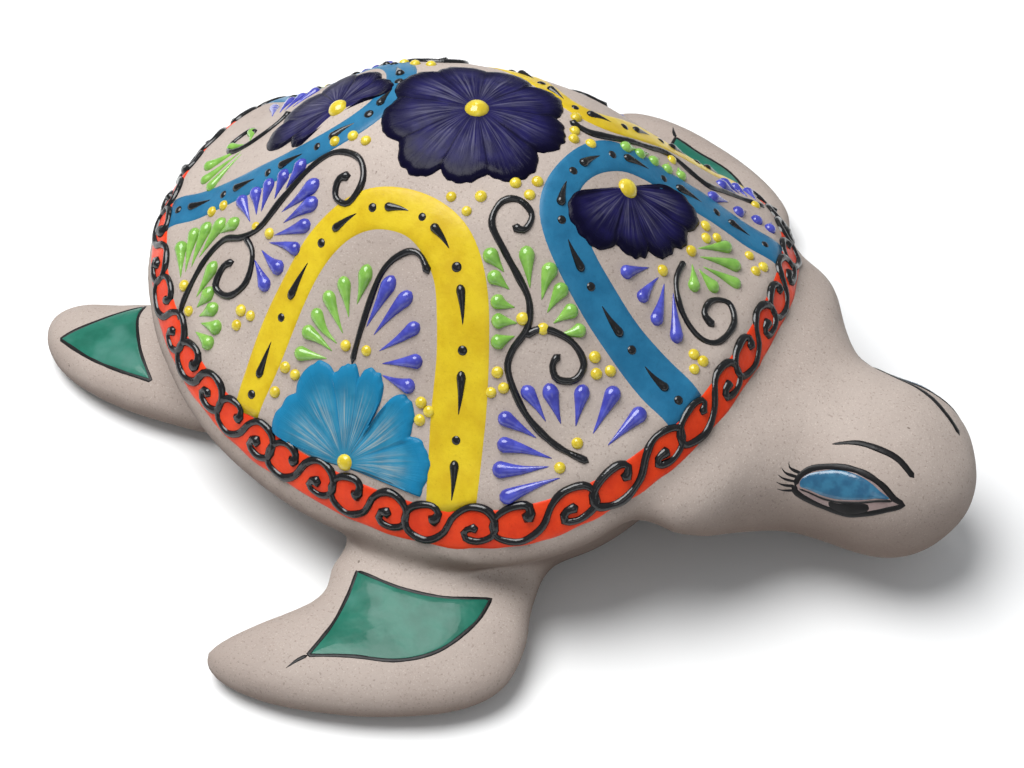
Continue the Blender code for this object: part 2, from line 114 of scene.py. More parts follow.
def smooth_curve(points, x):
    """Heights at x, an array, of a smooth curve through (x, height) points."""
    px, py = (np.array(column, float) for column in zip(*points))
    last = len(px) - 1
    ends = [(max(i - 1, 0), min(i + 1, last)) for i in range(last + 1)]
    slopes = np.array([(py[b] - py[a]) / (px[b] - px[a]) for a, b in ends])
    slopes[0] = 0
    i = np.clip(np.searchsorted(px, x, side="right") - 1, 0, last - 1)
    span = px[i + 1] - px[i]
    s = np.clip((x - px[i]) / span, 0, 1)
    inside = (
        py[i] * (1 + 2 * s) * (1 - s) ** 2 + py[i + 1] * s * s * (3 - 2 * s)
        + span * s * (1 - s) * (slopes[i] * (1 - s) - slopes[i + 1] * s)
    )
    return inside + slopes[last] * np.maximum(x - px[last], 0)


def edge(turn):
    """The shell's outline in plan, at an angle counted from the front towards the left."""
    c, s = np.cos(turn), np.sin(turn)
    x = np.sign(c) * np.abs(c) ** SQUARENESS
    y = np.sign(s) * np.abs(s) ** SQUARENESS * SHELL_WIDTH * (1 + FRONT_WIDENING * x)
    return x, y


def shell_place(x, y):
    """How far (x, y) lies from the shell's centre towards its edge, and the rim's rise there."""
    power = 2 / SQUARENESS
    r = np.maximum(np.hypot(x, y / SHELL_WIDTH), 1e-6)
    for _ in range(6):
        width = SHELL_WIDTH * (1 + FRONT_WIDENING * np.clip(x / r, -1, 1))
        r = np.maximum((np.abs(x) ** power + np.abs(y / width) ** power) ** (1 / power), 1e-6)
    return r, 2 * np.minimum(1, np.abs(x / r)) ** power - 1


def dome_height(x, y):
    r, rise = shell_place(x, y)
    return RIM_HEIGHT + RIM_SADDLE * rise * np.minimum(r, 1) ** 2 + smooth_curve(DOME, r)


def in_row(x, y, z):
    """Shell units to metres in the row frame."""
    return np.stack(np.broadcast_arrays(SHELL_X + x * UNIT, y * UNIT, z * UNIT), -1)


def path_through(points, steps, closed=False):
    """A smooth path through points of any number of dimensions, with steps spans between each two."""
    p = np.array(points, float)
    p = np.concatenate([p[-1:], p, p[:2]]) if closed else np.concatenate([p[:1], p, p[-1:]])
    s = np.linspace(0, 1, steps, endpoint=False)[:, None]
    path = []
    for a, b, c, d in zip(p[:-3], p[1:-2], p[2:-1], p[3:]):
        path.append(0.5 * (2 * b + (c - a) * s + (2 * a - 5 * b + 4 * c - d) * s ** 2
                           + (3 * b - a - 3 * c + d) * s ** 3))
    path = np.concatenate(path)
    return path if closed else np.concatenate([path, p[-2:-1]])


def distances(path):
    """How far along the path each of its points lies."""
    return np.concatenate([[0], np.cumsum(np.linalg.norm(np.diff(path, axis=0), axis=1))])


def evenly(path, count):
    """The same path with its points spread evenly along it."""
    along = distances(path)
    at = np.linspace(0, along[-1], count)
    return np.stack([np.interp(at, along, column) for column in path.T], -1)


def length_of(path):
    return np.linalg.norm(np.diff(path, axis=0), axis=1).sum()


def mirrored(points, side):
    """Plan points on the turtle's right (1) or left (-1)."""
    return np.array(points, float) * (1, side)


def around(count):
    """Evenly spread angles of a whole turn."""
    return np.linspace(0, 2 * math.pi, count, endpoint=False)


def waver(a, b, c):
    """One value of smooth noise, between -1 and 1."""
    return noise.noise(Vector((a, b, c)))


def wobble(values, seed):
    """Smooth noise between about -1 and 1 for each number."""
    return np.array([waver(v, seed * 7.31, seed * 3.17) * 1.8 for v in values])


# Meshes


def mesh_object(name, points, faces, material=None):
    mesh = bpy.data.meshes.new(name)
    mesh.from_pydata([tuple(p) for p in points], [], faces)
    work = bmesh.new()
    work.from_mesh(mesh)
    bmesh.ops.recalc_face_normals(work, faces=work.faces)
    work.to_mesh(mesh)
    work.free()
    mesh.shade_smooth()
    if material:
        mesh.materials.append(material)
    obj = bpy.data.objects.new(name, mesh)
    bpy.context.scene.collection.objects.link(obj)
    return obj


def tube_faces(rings, sides, first=0):
    faces = []
    for i in range(rings - 1):
        a = first + i * sides
        for k in range(sides):
            m = (k + 1) % sides
            faces.append((a + k, a + m, a + sides + m, a + sides + k))
    return faces


def lofted(rings):
    """Points and faces of rings bridged in turn, with each end closed by a fan."""
    count, sides = len(rings), len(rings[0])
    points = np.concatenate([*rings, [rings[0].mean(0)], [rings[-1].mean(0)]])
    faces = tube_faces(count, sides)
    for first, middle in ((0, count * sides), ((count - 1) * sides, count * sides + 1)):
        faces += [(first + k, first + (k + 1) % sides, middle) for k in range(sides)]
    return points, faces


def merged(parts):
    """Several (points, faces) as one."""
    points, faces, base = [], [], 0
    for part_points, part_faces in parts:
        points.append(part_points)
        faces += [tuple(base + i for i in face) for face in part_faces]
        base += len(part_points)
    return np.concatenate(points), faces


# The clay skin


def body_rings(turns, wall=0.0):
    """Rings from the crown down to the foot. A wall moves them inwards."""
    turn = around(turns)
    x, y = edge(turn)
    rim = RIM_HEIGHT + RIM_SADDLE * np.cos(2 * turn)
    rings = []
    for s in np.linspace(0.03, 0.975, 36):
        rings.append(in_row(x * s, y * s, dome_height(x * s, y * s)))
    for s, drop in path_through(LIP, 3):
        rings.append(in_row(x * s, y * s, rim + drop))
    foot = rim + LIP[-1][1]
    for s, share in path_through(BELLY[1:], 4):
        rings.append(in_row(x * s, y * s, foot * max(share, 0)))
    if wall:
        rings = moved_in(np.array(rings), wall)
    return rings


def moved_in(rings, amount):
    across = np.roll(rings, -1, 1) - np.roll(rings, 1, 1)
    along = np.gradient(rings, axis=0)
    normal = np.cross(across, along)
    normal /= np.linalg.norm(normal, axis=2, keepdims=True)
    if normal[5, :, 2].mean() < 0:
        normal = -normal
    rings = rings - normal * amount
    rings[..., 2] = np.maximum(rings[..., 2], WALL)
    return rings


def limb(stations, side):
    """(points, faces) of a limb with an oval section that bulges a little at its corners."""
    turn = around(LIMB_SIDES)
    wide, high = (np.sign(v) * np.abs(v) ** LIMB_BULGE for v in (np.cos(turn), np.sin(turn)))
    rings = []
    for x, y, heading, half, low, top in path_through(stations, 6):
        a = math.radians(heading)
        rings.append(in_row(x - math.sin(a) * wide * half, side * (y + math.cos(a) * wide * half),
                            (low + top) / 2 + high * (top - low) / 2))
    return lofted(rings)


def applied(obj):
    """The object with its modifiers turned into its mesh."""
    graph = bpy.context.evaluated_depsgraph_get()
    mesh = bpy.data.meshes.new_from_object(obj.evaluated_get(graph))
    obj.modifiers.clear()
    obj.data = mesh
    return obj


def voxel_skin(parts):
    """One closed surface round all the parts."""
    obj = mesh_object("clay_skin", *merged(parts))
    modifier = obj.modifiers.new("Skin", "REMESH")
    modifier.mode = "VOXEL"
    modifier.voxel_size = VOXEL
    return applied(obj)


def tree_of(points, faces):
    return BVHTree.FromPolygons([Vector(p) for p in points], faces)


def vertex_array(mesh):
    co = np.empty(len(mesh.vertices) * 3)
    mesh.vertices.foreach_get("co", co)
    return co.reshape(-1, 3)


def relaxed(mesh, weight, passes):
    """Moves each vertex towards its neighbours' middle, by its weight."""
    co = vertex_array(mesh)
    pairs = np.empty(len(mesh.edges) * 2, int)
    mesh.edges.foreach_get("vertices", pairs)
    a, b = pairs.reshape(-1, 2).T
    count = np.maximum(np.bincount(a, minlength=len(co)) + np.bincount(b, minlength=len(co)), 1)
    for _ in range(passes):
        total = np.stack([
            np.bincount(a, co[b, k], len(co)) + np.bincount(b, co[a, k], len(co)) for k in range(3)
        ], -1)
        co += (total / count[:, None] - co) * weight[:, None]
    return co


def fillet_weight(co, body, limbs):
    """1 where the body and a limb are both close, falling to 0.12 away from the joints."""
    weight = np.full(len(co), 0.12)
    limb_trees = [tree_of(*part) for part in limbs]
    body_tree = tree_of(*body)
    for i, p in enumerate(co):
        point = Vector(p)
        for tree in limb_trees:
            near = tree.find_nearest(point, FILLET_REACH)[3]
            if near is None:
                continue
            other = body_tree.find_nearest(point, FILLET_REACH)[3]
            if other is not None:
                weight[i] = max(weight[i], 0.9 * (1 - max(near, other) / FILLET_REACH) ** 0.5)
    return weight


def clay_skin(material):
    body = lofted(body_rings(BODY_TURNS))
    limbs = [limb(HEAD, 1)]
    for side in (1, -1):
        limbs += [limb(FRONT_FLIPPER, side), limb(REAR_FLIPPER, side)]
    skin = voxel_skin([body, *limbs])
    mesh = skin.data
    co = vertex_array(mesh)
    weight = fillet_weight(co, body, limbs)
    rough = relaxed(mesh, np.full(len(co), 0.4), 3)
    mesh.vertices.foreach_set("co", rough.ravel())
    co = relaxed(mesh, weight * (co[:, 2] > 0.5 * MM), FILLET_PASSES // 2)
    mesh.vertices.foreach_set("co", co.ravel())
    mesh.update()
    normals = np.empty(len(co) * 3)
    mesh.vertices.foreach_get("normal", normals)
    lift = [noise.noise(Vector(p) / LUMP_SPACING) + 0.35 * noise.noise(Vector(p) * 3 / LUMP_SPACING)
            for p in co]
    free = np.clip(co[:, 2] / (6 * MM), 0, 1)
    co += normals.reshape(-1, 3) * (np.array(lift) * LUMP * free)[:, None]
    co[:, 2] = np.maximum(co[:, 2], 0)
    mesh.vertices.foreach_set("co", co.ravel())
    mesh.update()
    mesh.shade_smooth()
    mesh.materials.append(material)
    return skin


def hollow_out(skin):
    """Empties the body, with a hole through its foot."""
    inside = body_rings(CAVITY_TURNS, WALL)
    x, y = edge(around(CAVITY_TURNS))
    hole = [in_row(x * POUR_HOLE, y * POUR_HOLE, z / UNIT) for z in (WALL, -WALL)]
    cavity = mesh_object("cavity", *lofted([*inside, *hole]))
    modifier = skin.modifiers.new("Hollow", "BOOLEAN")
    modifier.object = cavity
    modifier.operation = "DIFFERENCE"
    modifier.solver = "MANIFOLD"
    applied(skin)
    bpy.data.objects.remove(cavity)
    skin.data.shade_smooth()
    skin.data.set_sharp_from_angle(angle=math.radians(50))


# Laying things on the skin

PRESS = 8 * MM


def pressed(start, normal, skin):
    """Points moved along their normals on to the skin."""
    found = []
    for p, n in zip(start.reshape(-1, 3), normal.reshape(-1, 3)):
        hit = skin.ray_cast(Vector(p + n * PRESS), Vector(-n), 2 * PRESS)[0]
        found.append(p if hit is None else hit)
    return np.array(found).reshape(start.shape)


def on_dome(plan, skin):
    """(points, normals) on the shell over plan points."""
    x, y = plan[..., 0], plan[..., 1]
    step = 0.006
    slope_x = (dome_height(x + step, y) - dome_height(x - step, y)) / (2 * step)
    slope_y = (dome_height(x, y + step) - dome_height(x, y - step)) / (2 * step)
    normal = np.stack([-slope_x, -slope_y, np.ones_like(x)], -1)
    normal /= np.linalg.norm(normal, axis=-1, keepdims=True)
    return pressed(in_row(x, y, dome_height(x, y)), normal, skin), normal


class Side:
    """Lays flat outlines on a limb, looking along one direction at it."""

    def __init__(self, origin, along, up, out):
        self.origin = np.array(origin, float)
        self.along, self.up, self.out = (np.array(v, float) for v in (along, up, out))

    def place(self, plan, skin):
        start = self.origin + (plan[..., :1] * self.along + plan[..., 1:] * self.up) * UNIT
        points, normals = [], []
        for p in start.reshape(-1, 3):
            hit = skin.ray_cast(Vector(p + self.out * 0.2), Vector(-self.out))[0]
            near = skin.find_nearest_range(hit, 2.6 * MM)
            normals.append(sum((n for _, n, _, _ in near), Vector()).normalized())
            points.append(hit)
        return np.array(points).reshape(start.shape), np.array(normals).reshape(start.shape)


def grid_sheet(points, normals, lift, closed_rows):
    """(points, faces) of a thin closed sheet: a grid at its lift, over the same grid in the clay."""
    rows, columns = points.shape[:2]
    top = points + normals * lift[..., None]
    under = points - normals * 0.6 * MM
    faces = []
    base = rows * columns
    spans = rows if closed_rows else rows - 1
    for i in range(spans):
        j = (i + 1) % rows
        for k in range(columns - 1):
            a, b, c, d = i * columns + k, i * columns + k + 1, j * columns + k + 1, j * columns + k
            faces += [(a, b, c, d), (base + d, base + c, base + b, base + a)]
        for k in (0, columns - 1):
            a, d = i * columns + k, j * columns + k
            faces.append((a, d, base + d, base + a))
    if not closed_rows:
        for i in (0, rows - 1):
            for k in range(columns - 1):
                a, b = i * columns + k, i * columns + k + 1
                faces.append((a, b, base + b, base + a))
    return np.concatenate([top.reshape(-1, 3), under.reshape(-1, 3)]), faces


def raised_line(points, normals, widths, height):
    """(points, faces) of a half-round line of slip. Height is a share of the width."""
    tangent = np.gradient(points, axis=0)
    across = np.cross(normals, tangent)
    across /= np.linalg.norm(across, axis=1, keepdims=True)
    turn = np.linspace(0, math.pi, 7)
    rings = []
    for p, n, b, w in zip(points, normals, across, widths):
        over = [p + b * (w / 2 * math.cos(a)) + n * (w * height * math.sin(a)) for a in turn]
        sunk = 0.35 * MM
        under = [p - b * (w / 2) - n * sunk, p + b * (w / 2) - n * sunk]
        rings.append(np.array(over + under))
    return lofted(rings)


def line_on_dome(path, widths, skin, height=0.5):
    points, normals = on_dome(path, skin)
    return raised_line(points, normals, widths, height)


def trailed(points, width, seed, skin, taper=0.5, start_blob=1.0, end_blob=1.35):
    """A trailed line through plan points, uneven as a hand leaves it."""
    path = path_through(points, 8)
    count = max(int(length_of(path) / 0.011), 6)
    path = evenly(path, count)
    s = np.linspace(0, 1, count)
    far = s * length_of(path)
    total = far[-1]
    widths = width * (1 + UNEVEN * wobble(far * 22, seed))
    widths *= 1 + (start_blob - 1) * np.exp(-(far / BLOB) ** 2)
    widths *= 1 + (end_blob - 1) * np.exp(-((total - far) / BLOB) ** 2)
    widths *= round_ends(far, total, width * 0.5, taper)
    return line_on_dome(path, widths * UNIT, skin)


def round_ends(far, total, radius, taper):
    """Shares of the full width that round both ends off."""
    start = np.clip(far / radius, 0, 1)
    end = np.clip((total - far) / (radius * (1 + taper)), 0, 1)
    return np.maximum(np.sqrt(1 - (1 - start) ** 2) * np.sqrt(1 - (1 - end) ** 2), 0.06)


def drop_widths(far, total, width):
    """A teardrop's widths: a round head at the start and a long thin tail."""
    radius = width / 2
    head = np.sqrt(np.clip(1 - ((radius - far) / radius) ** 2, 0, 1))
    tail = np.clip(1 - (far - radius) / (total - radius), 0, 1)
    return width * np.where(far < radius, np.maximum(head, 0.08), 0.10 + 0.90 * tail ** 1.35)


def teardrop(start, end, width, bend, skin, height=0.42):
    start, end = np.array(start, float), np.array(end, float)
    middle = (start + end) / 2 + np.array([start[1] - end[1], end[0] - start[0]]) * bend
    path = evenly(path_through([start, middle, end], 8), 15)
    far = np.linspace(0, 1, 15) ** 1.25 * length_of(path)
    path = np.stack([np.interp(far, np.linspace(0, far[-1], 15), c) for c in path.T], -1)
    widths = drop_widths(far, far[-1], width)
    widths[-1] *= 0.4
    return line_on_dome(path, widths * UNIT, skin, height)


def round_dot(centre, radius, skin, height=0.55):
    """A low round dome of slip, round on the surface however steep it is."""
    middle, out = on_dome(np.array(centre, float), skin)
    side = np.cross(out, (0, 0, 1.0))
    side = side / np.linalg.norm(side) if np.linalg.norm(side) > 1e-4 else np.array((1.0, 0, 0))
    turn = around(16)[:, None]
    circle = (side * np.cos(turn) + np.cross(out, side) * np.sin(turn)) * radius * UNIT
    shares = np.array([*np.sin(np.linspace(0.12, 1, 5) * math.pi / 2), 1.0])
    lifts = np.sqrt(np.clip(1 - (shares * 0.999) ** 2, 0, 1)) * radius * height * UNIT
    lifts[-1] = -0.4 * MM
    flat = middle + circle[None] * shares[:, None, None]
    normals = np.broadcast_to(out, flat.shape)
    return lofted(list(pressed(flat, normals, skin) + out * lifts[:, None, None]))


def ribbon(path, widths, skin, high, closed=False, columns=9):
    """A flat glaze area along a path, with edges that fall softly to the clay."""
    tangent = np.gradient(path, axis=0)
    if closed:
        tangent = np.roll(path, -1, 0) - np.roll(path, 1, 0)
    across = np.stack([-tangent[:, 1], tangent[:, 0]], -1)
    across /= np.linalg.norm(across, axis=1, keepdims=True)
    share = np.sin(np.linspace(-1, 1, columns) * math.pi / 2)
    plan = path[:, None] + across[:, None] * (widths[:, None] / 2 * share)[..., None]
    points, normals = on_dome(plan, skin)
    lift = high * (1 - np.abs(share) ** 6) - 0.25 * MM * (np.abs(share) > 0.999)
    return grid_sheet(points, normals, np.broadcast_to(lift, points.shape[:2]), closed)


# Materials


class Paint:
    """A short way to build a node material."""

    def __init__(self, name):
        self.material = bpy.data.materials.new(name)
        self.material.use_nodes = True
        self.tree = self.material.node_tree
        self.shader = self.tree.nodes["Principled BSDF"]
        self.where = self.node("ShaderNodeTexCoord").outputs["Object"]

    def node(self, kind, **values):
        node = self.tree.nodes.new(kind)
        for key, value in values.items():
            setattr(node, key, value)
        return node

    def split(self, vector):
        node = self.node("ShaderNodeSeparateXYZ")
        self.link(vector, node, "Vector")
        return node.outputs

    def link(self, output, node, name):
        self.tree.links.new(output, node.inputs[name])

    def noise(self, scale, detail=2.0, roughness=0.5, where=None):
        node = self.node("ShaderNodeTexNoise")
        node.inputs["Scale"].default_value = scale
        node.inputs["Detail"].default_value = detail
        node.inputs["Roughness"].default_value = roughness
        self.link(where or self.where, node, "Vector")
        return node.outputs["Fac"]

    def spread(self, value, low, high, to_low=0.0, to_high=1.0):
        """Maps low..high on to to_low..to_high, smoothly and without going past them."""
        node = self.node("ShaderNodeMapRange", interpolation_type="SMOOTHSTEP")
        for key, number in (("From Min", low), ("From Max", high), ("To Min", to_low),
                            ("To Max", to_high)):
            node.inputs[key].default_value = number
        self.link(value, node, "Value")
        return node.outputs["Result"]

    def patches(self, scale, detail=2.0, roughness=0.5):
        """Soft patches, from 0 to 1."""
        return self.spread(self.noise(scale, detail, roughness), 0.3, 0.7)

    def times(self, a, b):
        return self.maths("MULTIPLY", a, b)

    def maths(self, kind, a, b):
        node = self.node("ShaderNodeMath", operation=kind)
        for i, value in enumerate((a, b)):
            if isinstance(value, (int, float)):
                node.inputs[i].default_value = value
            else:
                self.tree.links.new(value, node.inputs[i])
        return node.outputs[0]

    def mix(self, share, a, b):
        """A colour between two colours."""
        node = self.node("ShaderNodeMix", data_type="RGBA")
        self.tree.links.new(share, node.inputs["Factor"])
        for name, value in (("A", a), ("B", b)):
            socket = next(s for s in node.inputs if s.name == name and s.type == "RGBA")
            if isinstance(value, tuple):
                socket.default_value = (*value, 1)
            else:
                self.tree.links.new(value, socket)
        return next(s for s in node.outputs if s.type == "RGBA")

    def finish(self, colour, roughness, bump=None, depth=0.0, coat=0.0, coat_roughness=0.1,
               specular=0.5):
        self.link(colour, self.shader, "Base Color")
        if isinstance(roughness, float):
            self.shader.inputs["Roughness"].default_value = roughness
        else:
            self.link(roughness, self.shader, "Roughness")
        if bump is not None:
            node = self.node("ShaderNodeBump")
            node.inputs["Distance"].default_value = depth
            node.inputs["Strength"].default_value = 1.0
            self.link(bump, node, "Height")
            self.link(node.outputs["Normal"], self.shader, "Normal")
        for key, value in (("Coat Weight", coat), ("Coat Roughness", coat_roughness),
                           ("Specular IOR Level", specular)):
            self.shader.inputs[key].default_value = value
        return self.material


def clay_material():
    paint = Paint("fired_clay")
    warm, pale, painted_shade_brown = (0.375, 0.312, 0.275), (0.42, 0.355, 0.315), (0.115, 0.078, 0.06)
    colour = paint.mix(paint.spread(paint.noise(26, 3), 0.35, 0.65), warm, pale)
    # painted shade: the clay turns darker towards the floor, over its lowest 24 mm, for the shade near the
    # table
    low = paint.times(paint.spread(paint.split(paint.where)["Z"], 0.0, 0.024, 0.7, 0.0),
                      paint.spread(paint.noise(40, 3), 0.3, 0.7, 0.7, 1.0))
    # painted shade: the clay turns darker where its surface faces sideways and down, for the shade on the
    # undersides
    facing = paint.split(paint.node("ShaderNodeNewGeometry").outputs["Normal"])
    under = paint.spread(facing["Z"], -0.35, 0.80, 0.85, 0.0)
    grain = paint.noise(1100, 2, 0.6)
    colour = paint.mix(paint.spread(grain, 0.58, 0.70, 0.0, 0.42), colour, (0.15, 0.11, 0.09))
    colour = paint.mix(paint.spread(paint.noise(1900, 1), 0.60, 0.74, 0.0, 0.28), colour,
                       (0.70, 0.62, 0.55))
    fleck = paint.spread(paint.noise(330, 1), 0.80, 0.83, 0.0, 0.7)
    colour = paint.mix(fleck, colour, (0.09, 0.06, 0.045))
    # mixes in the dark brown of the painted shade, by the stronger of the two shade masks
    colour = paint.mix(paint.maths("MAXIMUM", low, under), colour, painted_shade_brown)
    bump = paint.maths("ADD", paint.noise(900, 3, 0.7), paint.times(paint.noise(160, 2), 2.5))
    return paint.finish(colour, 0.72, bump, 0.16 * MM, specular=0.3)


def glaze_material(name, colour, deep):
    """A brushed flat glaze: slightly uneven colour, thin in places."""
    paint = Paint(name)
    patchy = paint.patches(110, 4, 0.6)
    shade = paint.mix(patchy, deep, colour)
    fine = paint.spread(paint.noise(1300, 2), 0.6, 0.75, 0.0, 0.25)
    shade = paint.mix(fine, shade, tuple(0.6 * c for c in deep))
    bump = paint.maths("ADD", paint.noise(260, 3, 0.6), paint.times(paint.noise(1100, 2), 0.35))
    rough = paint.spread(paint.noise(150, 2), 0.3, 0.7, 0.32, 0.46)
    return paint.finish(shade, rough, bump, 0.16 * MM, 0.04, 0.3, 0.22)


def slip_material(name, colour, deep, roughness=0.16, coat=0.35):
    """Thick glossy slip."""
    paint = Paint(name)
    shade = paint.mix(paint.spread(paint.noise(300, 2), 0.35, 0.65), deep, colour)
    bump = paint.noise(420, 2, 0.5)
    return paint.finish(shade, roughness, bump, 0.22 * MM, coat, 0.05)


def petal_material(name, deep, body, streak, rim, strength):
    """Petals: u counts petals round the flower and v runs from its centre to the petals' ends."""
    paint = Paint(name)
    uv = paint.node("ShaderNodeUVMap", uv_map="petal").outputs["UV"]
    u, v = (paint.split(uv)[axis] for axis in ("X", "Y"))
    stretch = paint.node("ShaderNodeMapping")
    stretch.inputs["Scale"].default_value = (13, 1.0, 1)
    paint.link(uv, stretch, "Vector")
    hairs = paint.spread(paint.noise(1.0, 4, 0.7, stretch.outputs["Vector"]), 0.42, 0.70)
    from_middle = paint.maths("ABSOLUTE", paint.maths("SUBTRACT", paint.maths("FRACT", u, 0), 0.5), 0)
    middle = paint.spread(from_middle, 0.05, 0.5, 1.0, 0.25)
    along = paint.times(paint.spread(v, 0.06, 0.30), paint.spread(v, 0.45, 0.86, 1.0, 0.0))
    share = paint.times(paint.times(hairs, middle), paint.times(along, strength))
    colour = paint.mix(paint.patches(150, 3), deep, body)
    colour = paint.mix(share, colour, streak)
    edge_share = paint.times(paint.spread(v, 0.66, 0.94), 0.9)
    colour = paint.mix(edge_share, colour, rim)
    crease = paint.times(paint.spread(from_middle, 0.42, 0.5), paint.spread(v, 0.1, 0.5))
    colour = paint.mix(paint.times(crease, 0.7), colour, rim)
    bump = paint.maths("ADD", paint.times(hairs, 0.5), paint.noise(260, 2))
    rough = paint.spread(v, 0.5, 0.95, 0.60, 0.25)
    return paint.finish(colour, rough, bump, 0.14 * MM, 0.05, 0.12, 0.07)


def green_material():
    paint = Paint("green_glaze")
    cloud = paint.spread(paint.noise(55, 3, 0.5), 0.48, 0.72, 0.0, 0.75)
    colour = paint.mix(paint.patches(130, 3), (0.008, 0.110, 0.072),
                       (0.016, 0.150, 0.102))
    colour = paint.mix(cloud, colour, (0.065, 0.205, 0.165))
    return paint.finish(colour, 0.35, paint.noise(95, 3), 0.6 * MM, 0.16, 0.06, 0.18)


def floor_material():
    paint = Paint("floor")
    colour = paint.mix(paint.patches(3, 2), (0.84, 0.84, 0.84), (0.87, 0.87, 0.865))
    return paint.finish(colour, 0.8)


# Widths, in shell units, and lifts of what is drawn
SCROLL_WIDTH = 0.0245
VINE_WIDTH = 0.0205
STEM_WIDTH = 0.0195  # the two end panels' stems
DASH_WIDTH = 0.029
DASH_LENGTH = 0.098
DASH_DOT = 0.0150
DOT_RADIUS = 0.0175
UNEVEN = 0.16  # how much a trailed line's width changes
BLOB = 0.022  # how far a blob at a line's end reaches
PATCH_LINE, TAIL_LINE = 0.0125, 0.012
EYE_LINE, LID_LINE, BROW_LINE, LASH_LINE = 0.0185, 0.0075, 0.021, 0.0085
BAND_LIFT, ARCH_LIFT = 0.40 * MM, 0.35 * MM
PATCH_LIFT, WHITE_LIFT, LID_LIFT, PUPIL_LIFT = 0.5 * MM, 0.25 * MM, 0.6 * MM, 0.42 * MM

# The drawing on the shell, right side or middle, in plan

# Arches: each point is (x, y, the glaze's width there)
SIDE_ARCH = (
    (-0.334, -0.745, 0.085), (-0.318, -0.63, 0.095), (-0.293, -0.54, 0.092), (-0.255, -0.46, 0.092),
    (-0.185, -0.395, 0.080), (-0.088, -0.358, 0.080), (0.034, -0.354, 0.086), (0.145, -0.39, 0.100),
    (0.22, -0.45, 0.115), (0.28, -0.55, 0.132), (0.33, -0.68, 0.138), (0.37, -0.79, 0.125),
)
FRONT_ARCH = (
    (0.86, -0.35, 0.132), (0.70, -0.325, 0.128), (0.57, -0.285, 0.120), (0.465, -0.235, 0.120),
    (0.40, -0.175, 0.108), (0.372, -0.085, 0.085), (0.385, 0.03, 0.085), (0.43, 0.13, 0.092),
    (0.50, 0.195, 0.095), (0.59, 0.245, 0.100), (0.70, 0.31, 0.105), (0.86, 0.365, 0.105),
)
LEFT_ARCH = (  # the left side's own, as if it were on the right: it stands further forward and higher
    (-0.22, -0.80, 0.085), (-0.215, -0.66, 0.090), (-0.19, -0.53, 0.090), (-0.13, -0.43, 0.085),
    (-0.04, -0.365, 0.080), (0.05, -0.318, 0.072), (0.135, -0.262, 0.058), (0.22, -0.216, 0.055),
    (0.30, -0.212, 0.058), (0.362, -0.25, 0.066), (0.40, -0.325, 0.075), (0.44, -0.42, 0.085),
    (0.485, -0.515, 0.095), (0.53, -0.62, 0.105), (0.58, -0.74, 0.110),
)
REAR_ARCH = (
    (-0.84, -0.305, 0.078), (-0.65, -0.277, 0.066), (-0.48, -0.25, 0.062), (-0.345, -0.205, 0.064),
    (-0.265, -0.125, 0.066), (-0.237, -0.03, 0.068), (-0.26, 0.09, 0.070), (-0.35, 0.19, 0.075),
    (-0.50, 0.26, 0.078), (-0.68, 0.29, 0.080), (-0.85, 0.32, 0.080),
)

LEFT_SHIFT = 0.13  # the left side panel stands this far forward of the right one

SCROLL_UNITS = 23
SCROLL_START = 0.05  # the first unit's place, as a share of a unit
SCROLL_UNEVEN = 0.256  # units by which the scrolls run ahead where they are drawn smaller
SCROLL_DENSE = 1.0  # how far along the outline, from the rear, they are smallest
SCROLL = (  # (along, across) in one unit: across runs from the band's outer edge, 0, to its inner edge
    (0.31, 0.50), (0.405, 0.73), (0.31, 0.92), (0.12, 0.85), (0.0, 0.58), (0.03, 0.25),
    (0.26, 0.125), (0.47, 0.33), (0.58, 0.72), (0.74, 0.97), (0.93, 0.90), (1.02, 0.63),
    (0.99, 0.33), (0.84, 0.20), (0.69, 0.28), (0.71, 0.45), (0.85, 0.49),
)

FRONT_VINE = (
    (0.72, -0.625), (0.61, -0.63), (0.51, -0.61), (0.43, -0.56), (0.42, -0.52), (0.44, -0.46),
    (0.42, -0.41), (0.37, -0.38), (0.31, -0.35), (0.25, -0.31), (0.25, -0.25), (0.29, -0.22),
    (0.34, -0.235), (0.34, -0.28), (0.305, -0.29),
)
FRONT_CURL = (
    (0.44, -0.48), (0.48, -0.44), (0.56, -0.42), (0.61, -0.44), (0.605, -0.485), (0.56, -0.51),
    (0.535, -0.49), (0.545, -0.46),
)
LEFT_FRONT_VINE = (
    (0.75, -0.60), (0.705, -0.55), (0.672, -0.50), (0.652, -0.46), (0.625, -0.405), (0.578, -0.386),
    (0.52, -0.382), (0.485, -0.345), (0.462, -0.296), (0.425, -0.235), (0.388, -0.178), (0.339, -0.135),
    (0.278, -0.135),
)
REAR_VINE = (
    (-0.68, -0.61), (-0.68, -0.56), (-0.66, -0.47), (-0.61, -0.42), (-0.54, -0.42),
    (-0.48, -0.40), (-0.43, -0.34), (-0.36, -0.27), (-0.29, -0.24), (-0.21, -0.255),
    (-0.17, -0.31), (-0.19, -0.36), (-0.24, -0.35), (-0.25, -0.31), (-0.215, -0.30),
)
REAR_CURL = (
    (-0.53, -0.42), (-0.48, -0.46), (-0.47, -0.52), (-0.52, -0.55), (-0.58, -0.53),
    (-0.575, -0.485), (-0.54, -0.475),
)
SIDE_STEM = (
    (-0.035, -0.65), (-0.035, -0.58), (-0.02, -0.48), (0.03, -0.435), (0.08, -0.43), (0.125, -0.46),
)
FRONT_STEM = (
    (0.71, 0.03), (0.72, -0.05), (0.77, -0.115), (0.84, -0.14), (0.89, -0.11), (0.90, -0.02),
    (0.86, 0.035), (0.82, 0.0), (0.82, -0.06), (0.86, -0.075),
)
REAR_STEM = (
    (-0.62, 0.02), (-0.66, -0.05), (-0.72, -0.09), (-0.79, -0.09), (-0.82, -0.03), (-0.78, 0.02),
    (-0.74, -0.02),
)

